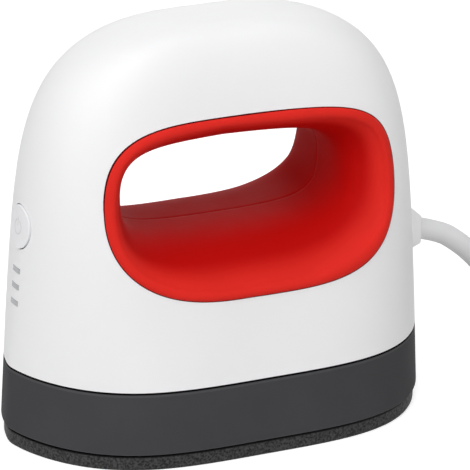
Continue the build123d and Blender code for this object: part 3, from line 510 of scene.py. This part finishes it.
@dataclass
class Palette:
    """Every finish, made once and put on as many pieces as need it."""

    finishes: dict[str, Finish] = field(init=False)
    made: dict[str, bpy.types.Material] = field(default_factory=dict, init=False)

    def __post_init__(self) -> None:
        """Lists the finishes by the record's material slot."""
        steel = {"metallic": 1.0, "grain": Grain.BRUSHED,
                 "grain_size": 0.12, "grain_depth": 0.004}
        listed = [
            Finish("shell_plastic", srgb(243, 243, 244), 0.50, tone_spread=0.008, tone_size=30.0,
                   grain_size=0.28, grain_depth=0.004, rough_size=8.0, specular=0.35),
            # Painted shade: the liner's scoop takes a darker, deeper red than its bead.
            LinerFinish("liner_plastic", srgb(222, 42, 34), 0.68, tone_spread=0.03, tone_size=14.0,
                        grain_size=0.3, grain_depth=0.005, rough_size=5.0, specular=0.09,
                        painted_shade_colour=srgb(186, 6, 3)),
            # Painted shadow: a dark red for the bead's faces in the joint with the shell.
            Finish("liner_painted_shadow", srgb(84, 8, 10), 0.80, specular=0.05),
            Finish("skirt_plastic", srgb(71, 71, 73), 0.66, tone_spread=0.03, tone_size=12.0,
                   grain_size=0.4, grain_depth=0.010, rough_size=4.0, specular=0.03,
                   # Painted highlights along the bottom edge and just below the top edge, and
                   # painted shadow in the joint under the shell.
                   painted_light_bands=(PaintedLightBand(4.1, 4.55, 1.45), PaintedLightBand(18.8, 19.30, 1.30),
                          PaintedLightBand(19.42, 19.8, 0.06))),
            Finish("plate_coating", srgb(62, 62, 62), 0.60, tone_spread=0.60, tone_size=0.55,
                   grain=Grain.PEBBLED, grain_size=0.55, grain_depth=0.08, rough_spread=0.25,
                   # Painted shadow: a dark strip along the plate's top, in the gap under the
                   # skirt.
                   rough_size=0.8, specular=0.10, painted_light_bands=(PaintedLightBand(3.35, 3.7, 0.08),)),
            ButtonFinish("button_plastic", srgb(240, 240, 242), 0.48, tone_spread=0.006,
                         grain_size=0.25, grain_depth=0.004),
            Finish("milky_plastic", srgb(172, 173, 176), 0.38, tone_spread=0.04, tone_size=1.2,
                   grain_depth=0.003, coat=0.25, glow_through=0.15),
            Finish("black_plastic", srgb(32, 32, 34), 0.45, tone_size=4.0,
                   grain_size=0.2, grain_depth=0.012),
            Finish("sheath_steel", srgb(150, 146, 140), 0.45, tone_spread=0.12, tone_size=5.0,
                   **steel),
            Finish("bright_steel", srgb(198, 199, 200), 0.30, tone_spread=0.05, tone_size=2.0,
                   **steel),
            Finish("spring_steel", srgb(182, 183, 186), 0.25, tone_spread=0.04, tone_size=3.0,
                   **steel),
            Finish("bare_brass", srgb(214, 182, 110), 0.30, tone_spread=0.06, tone_size=2.0,
                   **steel),
            Finish("pin_metal", srgb(214, 211, 204), 0.18, metallic=1.0, tone_spread=0.03,
                   tone_size=3.0, grain=Grain.BRUSHED, grain_size=0.15, grain_depth=0.002),
            Finish("white_ceramic", srgb(236, 232, 222), 0.62, tone_spread=0.03, tone_size=1.5,
                   grain_size=0.15, grain_depth=0.010),
            Finish("mica", srgb(186, 174, 150), 0.35, tone_spread=0.20, tone_size=1.8,
                   rough_spread=0.3, grain_size=0.6, grain_depth=0.010, coat=0.2),
            BoardFinish("board_laminate", srgb(34, 110, 62), 0.32, tone_spread=0.06, tone_size=2.0,
                        grain_size=0.5, grain_depth=0.006, coat=0.4),
            Finish("film_case", srgb(196, 150, 48), 0.28, tone_size=3.0, grain_size=0.3, coat=0.3),
            Finish("can_sleeve", srgb(34, 40, 66), 0.25, tone_size=3.0, grain_size=0.3, coat=0.4),
            Finish("terminal_plastic", srgb(52, 96, 160), 0.40, tone_size=3.0, grain_size=0.2),
            Finish("wire_insulation", srgb(60, 84, 150), 0.42, tone_size=3.0, grain_size=0.25),
            Finish("gland_plastic", srgb(250, 250, 250), 0.50, tone_spread=0.004, tone_size=6.0,
                   grain_size=0.3, grain_depth=0.005),
            Finish("cord_jacket", srgb(226, 226, 227), 0.50, tone_spread=0.02, tone_size=10.0,
                   grain_size=0.5, grain_depth=0.012, rough_size=4.0),
            Finish("tie_strap", srgb(38, 38, 40), 0.85, tone_spread=0.15, tone_size=1.0,
                   grain=Grain.WOVEN, grain_size=0.7, grain_depth=0.12, rough_spread=0.05),
        ]
        self.finishes = {finish.name: finish for finish in listed}

    def material(self, slot: str) -> bpy.types.Material:
        """Makes a finish the first time it is asked for.

        Args:
            slot: The finish's name.

        Returns:
            Its material.
        """
        if slot not in self.made:
            self.made[slot] = self.finishes[slot].make()
        return self.made[slot]

    def put(self, piece: bpy.types.Object, slot: str) -> None:
        """Puts a finish on a piece.

        Args:
            piece: A mesh or curve.
            slot: The finish's name, which is also the record's material slot.
        """
        material = self.material(slot)
        if not piece.material_slots:
            piece.data.materials.append(material)
        for place in piece.material_slots:
            place.material = material
        LOG.info("%s: %s", piece.name, slot)

    def put_second(self, piece: bpy.types.Object, slot: str, faces: Iterable[int]) -> None:
        """Puts another finish on some of a piece's faces.

        Args:
            piece: A mesh that already has its main finish.
            slot: The other finish's name.
            faces: Numbers of the faces that it covers.
        """
        piece.data.materials.append(self.material(slot))
        for number in faces:
            piece.data.polygons[number].material_index = 1


# ------------------------------------------------------------------ camera, lamps and floor
@dataclass(frozen=True)
class StudioCamera:
    """The camera's place and lens. Lengths are in millimetres and angles in radians."""

    turn: float = 0.4546
    rise: float = 0.3533
    roll: float = 0.013
    distance: float = 1048.2
    aim_height: float = 50.0
    aim_across: float = 5.3845
    aim_up: float = -4.5335
    focal_pixels: float = 4352.6
    frame_pixels: float = 470.0
    sensor_width: float = 36.0
    clip_metres: Pair = (0.05, 20.0)

    def place(self) -> None:
        """Makes the camera and gives it to the scene."""
        back = Vector((-math.sin(self.turn) * math.cos(self.rise),
                       -math.cos(self.turn) * math.cos(self.rise), math.sin(self.rise)))
        level = Vector((math.cos(self.turn), -math.sin(self.turn), 0.0))
        upright = back.cross(level)
        across = math.cos(self.roll) * level + math.sin(self.roll) * upright
        up = math.cos(self.roll) * upright - math.sin(self.roll) * level
        aim = Vector((0, 0, self.aim_height)) + self.aim_across * across + self.aim_up * up
        lens = bpy.data.cameras.new("studio_camera")
        lens.sensor_width = self.sensor_width
        lens.lens = self.focal_pixels * self.sensor_width / self.frame_pixels
        lens.clip_start, lens.clip_end = self.clip_metres
        camera = bpy.data.objects.new("studio_camera", lens)
        turn = Matrix((across, up, back)).transposed().to_4x4()
        camera.matrix_world = Matrix.Translation((aim + self.distance * back) * MM) @ turn
        bpy.context.scene.collection.objects.link(camera)
        bpy.context.scene.camera = camera


@dataclass(frozen=True)
class Lamp:
    """A square soft lamp that looks at the press. Lengths are in metres and power in watts."""

    name: str
    place: Point
    side: float
    power: float
    aim: Point = (0.0, 0.0, 0.05)

    def light(self) -> None:
        """Adds the lamp to the scene."""
        lamp = bpy.data.lights.new(self.name, "AREA")
        lamp.shape, lamp.size = "SQUARE", self.side
        lamp.energy = self.power
        stand = bpy.data.objects.new(self.name, lamp)
        turn = (Vector(self.aim) - Vector(self.place)).to_track_quat("-Z", "Y")
        stand.matrix_world = Matrix.Translation(self.place) @ turn.to_matrix().to_4x4()
        bpy.context.scene.collection.objects.link(stand)


@dataclass(frozen=True)
class Studio:
    """A white sweep with soft lamps. Lengths are in metres."""

    ambient: float = 0.285
    floor_half: float = 6.0
    floor_tone: float = 0.66
    floor_lift: float = 0.66
    lamps: tuple[Lamp, ...] = (
        Lamp("key_lamp", (-0.90, -1.30, 0.95), 0.9, 5.8),
        Lamp("side_lamp", (-1.50, -0.35, 0.80), 0.9, 4.9),
        Lamp("high_lamp", (-0.45, -0.75, 1.38), 1.0, 10.1),
        Lamp("top_lamp", (0.10, 0.10, 1.60), 1.1, 2.8),
        Lamp("fill_lamp", (1.30, -1.00, 0.55), 0.8, 2.5),
        Lamp("back_lamp", (0.80, 1.50, 0.90), 1.0, 3.0),
    )

    def build(self) -> None:
        """Sets the view transform, world, floor and lamps."""
        bpy.context.scene.view_settings.view_transform = "Standard"
        self._world()
        self._floor()
        for lamp in self.lamps:
            lamp.light()

    @staticmethod
    def _seen(sheet: NodeSheet) -> Signal:
        """Tells the rays that show the background itself: camera, mirror and glass rays.

        Args:
            sheet: The node tree of the world or the floor.

        Returns:
            1 for those rays and 0 for the others.
        """
        path = sheet.node("LightPath").outputs
        camera, glossy, clear = (Signal(sheet, path[f"Is {kind} Ray"])
                                 for kind in ("Camera", "Glossy", "Transmission"))
        return camera.most(glossy).most(clear)

    def _world(self) -> None:
        """Plain white where it is seen, and a softer grey where it only lights."""
        world = bpy.data.worlds.new("studio_world")
        world.use_nodes = True
        bpy.context.scene.world = world
        sheet = NodeSheet(world.node_tree)
        strength = self._seen(sheet) * (1 - self.ambient) + self.ambient
        glow = sheet.node("Background", {}, {"Color": WHITE, "Strength": strength})
        sheet.node("OutputWorld", {}, {"Surface": Signal(sheet, glow.outputs[0])})

    def _floor(self) -> None:
        """A pale floor that keeps a soft shadow."""
        half = self.floor_half
        square = [(-half, -half, 0.0), (half, -half, 0.0), (half, half, 0.0), (-half, half, 0.0)]
        floor = mesh_object("studio_floor", square, [(0, 1, 2, 3)])
        material = bpy.data.materials.new("studio_floor")
        material.use_nodes = True
        sheet = NodeSheet(material.node_tree)
        lift = self._seen(sheet) * self.floor_lift
        plain = sheet.node("BsdfDiffuse", {}, {"Color": (self.floor_tone,) * 3})
        lifted = sheet.node("Emission", {}, {"Color": WHITE, "Strength": lift})
        layers = (Signal(sheet, layer.outputs[0]) for layer in (plain, lifted))
        both = sheet.node("AddShader", {}, dict(enumerate(layers)))
        sheet.node("OutputMaterial", {}, {"Surface": Signal(sheet, both.outputs[0])})
        floor.data.materials.append(material)


# ------------------------------------------------------------------ mains lead
@dataclass(frozen=True)
class CordGland:
    """The moulded relief at the shell: a sleeve through the wall and a flat-sided nose.

    Sizes are in millimetres. The sleeve is turned from pairs of x and radius, and each end of the
    nose is given as x, half width, lowest z and highest z.
    """

    axis_height: float = 38.3
    bore: float = 2.75
    sleeve: tuple[Pair, ...] = (
        (46.65, 6.2), (49.2, 6.2), (49.2, 4.5), (50.4, 4.5),
        (50.4, 5.5), (52.3, 5.5), (52.6, 5.35), (52.75, 5.0),
    )
    around: int = 60
    nose_root: tuple[float, float, float, float] = (50.8, 3.3, 33.9, 47.2)
    nose_face: tuple[float, float, float, float] = (55.85, 2.9, 35.6, 42.7)
    edge_round: float = 0.45
    edge_steps: int = 3
    edge_profile: float = 0.5
    crease_radians: float = 0.7

    def build(self, palette: Palette) -> bpy.types.Object:
        """Makes the relief and lets it stand for its node.

        Args:
            palette: The finishes.

        Returns:
            The relief.
        """
        inner = [(self.sleeve[-1][0], self.bore), (self.sleeve[0][0], self.bore)]
        rows = []
        for step in range(self.around):
            angle = math.tau * step / self.around
            y, z = math.cos(angle), math.sin(angle)
            rows.append([(x * MM, radius * y * MM, (self.axis_height + radius * z) * MM)
                         for x, radius in (*self.sleeve, *inner)])
        points, faces = [point for row in rows for point in row], closed_grid(rows)
        first = len(points)
        for x, half, low, high in (self.nose_root, self.nose_face):
            square = ((-half, low), (half, low), (half, high), (-half, high))
            points += [(x * MM, y * MM, z * MM) for y, z in square]
        sides = ((i, i + 4, (i + 1) % 4 + 4, (i + 1) % 4) for i in range(4))
        nose = [(0, 1, 2, 3), (7, 6, 5, 4), *sides]
        faces += [tuple(first + corner for corner in face) for face in nose]
        relief = mesh_object("cord_gland", points, faces)
        shape = bmesh.new()
        shape.from_mesh(relief.data)
        edges = [edge for edge in shape.edges
                 if all(corner.index >= first for corner in edge.verts)]
        bmesh.ops.bevel(shape, geom=edges, offset=self.edge_round * MM, segments=self.edge_steps,
                        affect="EDGES", profile=self.edge_profile)
        for face in shape.faces:
            face.smooth = True
        shape.to_mesh(relief.data)
        shape.free()
        relief.data.set_sharp_from_angle(angle=self.crease_radians)
        palette.put(relief, "gland_plastic")
        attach(relief, BODY)
        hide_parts("strain_relief")
        return relief


@dataclass(frozen=True)
class MainsLead:
    """The mains lead: a loose fall from the gland, a tied coil and the run to the plug.

    Sizes are in millimetres and windings in degrees. Each of the layers is a turn's place in the
    coil's section, as columns outwards and layers up.
    """

    diameter: float = 5.4
    length: float = 1500.0
    route: tuple[Point, ...] = (
        (55.0, 0.0, 39.1), (62.4, 0.0, 37.0), (67.1, 0.0, 33.8), (71.4, 0.0, 30.1),
        (76.0, 0.2, 24.9), (81.3, 0.9, 17.8), (87.2, 2.4, 10.9), (93.6, 4.5, 5.9),
        (101.2, 7.6, 3.2), (109.2, 11.1, 2.7), (118.0, 15.1, 2.7), (128.0, 19.0, 2.7),
        (138.0, 21.8, 2.7), (148.0, 22.8, 2.7),
    )
    tail: tuple[Point, ...] = (
        (154.5, -46.9, 13.4), (145.0, -47.3, 12.5), (136.5, -48.0, 9.0), (125.5, -48.4, 6.85),
    )
    coil_centre: Pair = (157.5, -12.0)
    coil_radius: float = 29.0
    layers: tuple[tuple[int, int], ...] = (
        (1, 0), (0, 0), (-1, 0), (-1, 1), (-1, 2), (0, 2), (0, 1), (1, 1), (1, 2),
    )
    points_per_turn: int = 24
    first_change: float = 285.0
    change_every: float = 320.0
    change_over: float = 80.0
    wound: float = 2700.0
    round_steps: int = 6
    steps_per_point: int = 6
    curve_order: int = 3

    def coil_point(self, wound: float) -> Point:
        """Where the lead is after that many degrees of winding.

        Args:
            wound: Degrees wound since the lead met the coil.

        Returns:
            The point on the turn's line.
        """
        changed = (wound - self.first_change) / self.change_every
        slot = min(len(self.layers) - 2, max(0, math.floor(changed)))
        share = ease((changed - slot) * self.change_every / self.change_over)
        (column, layer), (next_column, next_layer) = self.layers[slot], self.layers[slot + 1]
        across = self.coil_radius + self.diameter * (column + (next_column - column) * share)
        radius = across / math.cos(math.pi / self.points_per_turn)
        height = self.diameter * (0.5 + layer + (next_layer - layer) * share)
        angle = math.radians(90 - wound)
        x, y = self.coil_centre
        return x + radius * math.cos(angle), y + radius * math.sin(angle), height

    def line(self) -> list[Point]:
        """Joins the fall, the turns and the run to the plug.

        Returns:
            The whole lead's control points.
        """
        step = 360 / self.points_per_turn
        turns = [self.coil_point(step * i) for i in range(1, round(self.wound / step))]
        return [*self.route, *turns, *self.tail]

    def build(self, palette: Palette, nodes: dict[str, bpy.types.Object],
              gland: bpy.types.Object) -> None:
        """Args:
            palette: The finishes.
            nodes: The press's own nodes by name; not used.
            gland: The relief that the lead leaves the shell through; not used.
        """
        curve = bpy.data.curves.new("mains_lead", "CURVE")
        curve.dimensions = "3D"
        curve.bevel_depth = self.diameter / 2 * MM
        curve.bevel_resolution = self.round_steps
        curve.use_fill_caps = True
        spline = curve.splines.new("NURBS")
        points = self.line()
        spline.points.add(len(points) - 1)
        for place, point in zip(spline.points, points):
            place.co = (*(Vector(point) * MM), 1.0)
        spline.order_u = self.curve_order
        spline.use_endpoint_u = True
        spline.resolution_u = self.steps_per_point
        lead = bpy.data.objects.new("mains_lead", curve)
        bpy.context.scene.collection.objects.link(lead)
        palette.put(lead, "cord_jacket")
        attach(lead, BODY)
        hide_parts("power_cord", "cord_coil", "cord_tail")


# ------------------------------------------------------------------ handle liner
@dataclass(frozen=True)
class ShellForm:
    """The shell's outer form as a formula, in millimetres."""

    foot: float = 19.65
    height: float = 101.6
    half_length: float = 53.3
    half_width: float = 31.8
    end_taper: float = 0.114
    end_shoulder: Pair = (5.85, 3.03)
    side_taper: float = 0.507
    side_shoulder: Pair = (7.25, 5.0)
    end_power: Pair = (3.7, 2.0)
    side_power: Pair = (1.5, 0.77)

    def depth(self, x: float, z: float) -> float:
        """Works out how wide the shell is at a place.

        Args:
            x: The place's x.
            z: The place's height.

        Returns:
            The distance of the shell's face from the middle plane.
        """
        t = max(0.0, (z - self.foot) / (self.height - self.foot))
        end_round = (1 - t ** self.end_shoulder[0]) ** (1 / self.end_shoulder[1])
        side_round = (1 - t ** self.side_shoulder[0]) ** (1 / self.side_shoulder[1])
        half_length = self.half_length * (1 - self.end_taper * t) * end_round
        half_width = self.half_width * (1 - self.side_taper * t) * side_round
        end_power = self.end_power[0] + self.end_power[1] * t
        side_power = self.side_power[0] + self.side_power[1] * t
        return half_width * (1 - min(1.0, abs(x / half_length) ** end_power)) ** (1 / side_power)


@dataclass(frozen=True)
class Loop:
    """A closed loop of four quarter curves in an upright plane, in millimetres."""

    right: Pair
    top: Pair
    left: Pair
    bottom: Pair
    handles: tuple[Pair, ...]

    def points(self, per_quarter: int) -> list[Pair]:
        """Points round the loop.

        Args:
            per_quarter: Points on each quarter.

        Returns:
            Pairs of x and z, starting at the right.
        """
        joints = (self.right, self.top, self.left, self.bottom)
        found = []
        for quarter, (side_share, level_share) in enumerate(self.handles):
            start, end = joints[quarter], joints[(quarter + 1) % 4]
            side, level = (start, end) if quarter % 2 == 0 else (end, start)
            near_side = (side[0], side[1] + side_share * (level[1] - side[1]))
            near_level = (level[0] + level_share * (side[0] - level[0]), level[1])
            middle = (near_side, near_level) if quarter % 2 == 0 else (near_level, near_side)
            control = (start, *middle, end)
            found += [self._cubic(control, step / per_quarter) for step in range(per_quarter)]
        return found

    @staticmethod
    def _cubic(control: Sequence[Pair], t: float) -> Pair:
        """Returns the point of a cubic curve at a share from 0 to 1 of its run."""
        s = 1 - t
        return tuple(s**3 * a + 3 * s * s * t * b + 3 * s * t * t * c + t**3 * d
                     for a, b, c, d in zip(*control))

    def reach(self, start: Pair, way: Pair, per_quarter: int = 24) -> float:
        """Returns how far a line from a point outside the loop runs before it is inside.

        Args:
            start: Where the line starts.
            way: Its direction, of length one.
            per_quarter: Points on each quarter of the loop that is tested.

        Returns:
            The distance, or 0 where the start is inside.
        """
        ring = self.points(per_quarter)
        crossings = []
        for (x1, z1), (x2, z2) in zip(ring, [*ring[1:], ring[0]]):
            across = (x2 - x1) * way[1] - (z2 - z1) * way[0]
            if abs(across) < NEARLY_PARALLEL:
                continue
            along = ((x2 - x1) * (z1 - start[1]) - (z2 - z1) * (x1 - start[0])) / across
            place = (way[0] * (z1 - start[1]) - way[1] * (x1 - start[0])) / across
            if 0 <= place < 1 and along > 0:
                crossings.append(along)
        return min(crossings) if len(crossings) % 2 == 0 and crossings else 0.0


@dataclass(frozen=True)
class HandleLiner:
    """The red liner: two halves that meet in the middle plane, each with a rolled bead.

    Sizes are in millimetres. The bead is given as pairs of the distance inwards from the rim and
    the height over the shell's face. The shaded steps are the bead's faces that lie against the
    shell, counted from its outer edge; they take a dark red as painted shadow in the joint.
    """

    form: ShellForm = ShellForm()
    rim: Loop = Loop((38.92, 61.54), (-8.05, 81.90), (-37.73, 61.67), (-6.00, 39.29),
                     ((0.989, 0.738), (0.983, 0.528), (0.400, 0.883), (1.11, 0.496)))
    opening: Loop = Loop((38.4, 61.4), (-7.7, 82.0), (-37.7, 62.2), (-11.0, 40.0),
                         ((0.95, 0.75), (0.95, 0.57), (0.30, 0.83), (0.66, 0.68)))
    opening_cover: float = 0.6
    throat: Loop = Loop((27.9, 63.16), (-2.09, 73.41), (-28.3, 63.1), (0.0, 51.2),
                        ((0.80, 0.81), (0.75, 0.92), (0.90, 0.87), (0.90, 0.87)))
    per_quarter: int = 44
    wall: float = 2.0
    back_share: float = 0.93
    bead: tuple[Pair, ...] = (
        (0.0, -1.50), (0.0, -0.30), (0.04, 0.05), (0.26, 0.09), (0.42, 0.34), (0.75, 0.56),
        (1.20, 0.68), (1.70, 0.66), (2.15, 0.50), (2.55, 0.22), (2.82, -0.06), (2.97, -0.27),
    )
    bead_end: Pair = (3.05, -0.40)
    plain_bead: float = 0.5
    shaded_steps: tuple[int, ...] = (1, 2)
    scoop_power: float = 3.54
    scoop_end_shift: float = 1.16
    scoop_rise_shift: float = -0.70
    scoop_corner_shift: float = 0.78
    scoop_rows: int = 26
    seam_gap: float = 0.02
    seam_bevel: float = 0.16

    def profile(self, rim: Pair, throat: Pair) -> list[Point]:
        """The closed profile of the front half at one place of the loop.

        Args:
            rim: A point of the liner's outer edge, as x and z.
            throat: The throat's point that belongs to it.

        Returns:
            Points from the bead's outer edge over the face to the seam and back behind the face.
        """
        reach = math.dist(rim, throat)
        inwards = ((throat[0] - rim[0]) / reach, (throat[1] - rim[1]) / reach)
        power = self.scoop_power - self.scoop_end_shift * inwards[0]
        power -= self.scoop_rise_shift * inwards[1]
        power -= self.scoop_corner_shift * inwards[0] * inwards[1]

        def at(inset: float, proud: float | None = None, depth: float = 0.0) -> Point:
            """Places a point of the profile.

            Args:
                inset: How far inwards from the rim it lies.
                proud: Its height over the shell's face, if that is what is known.
                depth: Its distance from the middle plane otherwise.

            Returns:
                The point in metres.
            """
            x, z = rim[0] + inwards[0] * inset, rim[1] + inwards[1] * inset
            out = depth if proud is None else self.form.depth(x, z) + proud
            return x * MM, -out * MM, z * MM

        width, edge = self.bead_end
        # Where the rim passes the shell's opening, the bead is broad enough to cover its edge.
        broad = max(1.0, (self.opening.reach(rim, inwards) + self.opening_cover) / width)
        width *= broad
        start = -at(width, edge)[1] / MM
        shares = [1 - i / self.scoop_rows for i in range(self.scoop_rows + 1)]
        bevel = self.seam_bevel / start
        face = [at(reach - (reach - width) * share**power, depth=share * start)
                for share in shares if share > bevel]
        seam = [at(reach, depth=self.seam_bevel),
                at(reach - self.seam_bevel, depth=self.seam_gap),
                at(reach - self.wall, depth=self.seam_gap)]
        back = [at(reach - self.wall - (reach - width) * share**power, depth=share * start)
                for share in reversed(shares) if share < self.back_share]
        bead = [at(inset * broad if inset > self.plain_bead else inset, proud)
                for inset, proud in self.bead]
        return bead + face + seam + back[1:]

    def build(self, palette: Palette) -> None:
        """Makes both halves and lets each stand for its node.

        Args:
            palette: The finishes.
        """
        rims, throats = (loop.points(self.per_quarter) for loop in (self.rim, self.throat))
        rows = [self.profile(rim, throat) for rim, throat in zip(rims, throats)]
        for name, side in (("handle_liner_front", 1), ("handle_liner_rear", -1)):
            points = [(x, side * y, z) for row in rows for x, y, z in row]
            half = mesh_object(name + "_moulding", points, closed_grid(rows))
            palette.put(half, "liner_plastic")
            # Painted shadow: the bead's outer faces against the shell take a dark red finish.
            shaded = (row * len(rows[0]) + step
                      for row in range(len(rows)) for step in self.shaded_steps)
            palette.put_second(half, "liner_painted_shadow", shaded)
            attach(half, BODY)
            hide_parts(name)
            LOG.info("%s: %d faces", half.name, len(half.data.polygons))


# ------------------------------------------------------------------ what the frame already holds
@dataclass(frozen=True)
class KeptPieces:
    """Pieces whose modelled shape is right as it is, by sub-assembly, with the finish of each."""

    name: str
    finishes: dict[str, str]

    def dress(self, palette: Palette, nodes: dict[str, bpy.types.Object]) -> None:
        """Puts each piece's finish on it.

        Args:
            palette: The finishes.
            nodes: The press's own nodes by name.
        """
        LOG.info("%s", self.name)
        for node, slot in self.finishes.items():
            palette.put(nodes[node], slot)


HOUSING = KeptPieces("housing", {
    "outer_shell": "shell_plastic",
    "base_skirt": "skirt_plastic",
    "liner_screws": "bright_steel",
    "skirt_screws": "bright_steel",
})
HEATER = KeptPieces("heater", {
    "heat_plate": "plate_coating",
    "heating_element": "sheath_steel",
    "element_terminals": "bare_brass",
    "element_clamps": "spring_steel",
    "clamp_screws": "bright_steel",
    "temperature_sensor": "white_ceramic",
    "thermal_fuse": "white_ceramic",
    "sensor_clips": "spring_steel",
    "insulation_sheet": "mica",
    "heat_shield": "bright_steel",
    "plate_standoffs": "white_ceramic",
    "plate_screws": "bright_steel",
})
CONTROLS = KeptPieces("controls", {
    "power_button": "button_plastic",
    "switch_plunger": "black_plastic",
    "tact_switch": "black_plastic",
    "light_guide": "milky_plastic",
    "indicator_leds": "milky_plastic",
    "control_board": "board_laminate",
    "board_screws": "bright_steel",
    "board_carrier": "black_plastic",
    "carrier_screws": "bright_steel",
})
MAINS = KeptPieces("mains parts", {
    "power_board": "board_laminate",
    "power_board_screws": "bright_steel",
    "relay": "black_plastic",
    "film_capacitor": "film_case",
    "smoothing_capacitor": "can_sleeve",
    "terminal_block": "terminal_plastic",
    "terminal_screws": "bright_steel",
    "mains_leads": "wire_insulation",
    "coil_tie": "tie_strap",
    "plug_body": "cord_jacket",
    "plug_pins": "pin_metal",
})


def main() -> None:
    """Builds the dressed press in order."""
    logging.basicConfig(level=logging.INFO, format="%(name)s: %(message)s")
    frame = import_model()
    nodes, palette = frame["nodes"], Palette()
    StudioCamera().place()
    MainsLead().build(palette, nodes, CordGland().build(palette))
    Studio().build()
    HandleLiner().build(palette)
    for group in (HOUSING, HEATER, CONTROLS, MAINS):
        group.dress(palette, nodes)


if __name__ == "__main__":
    main()
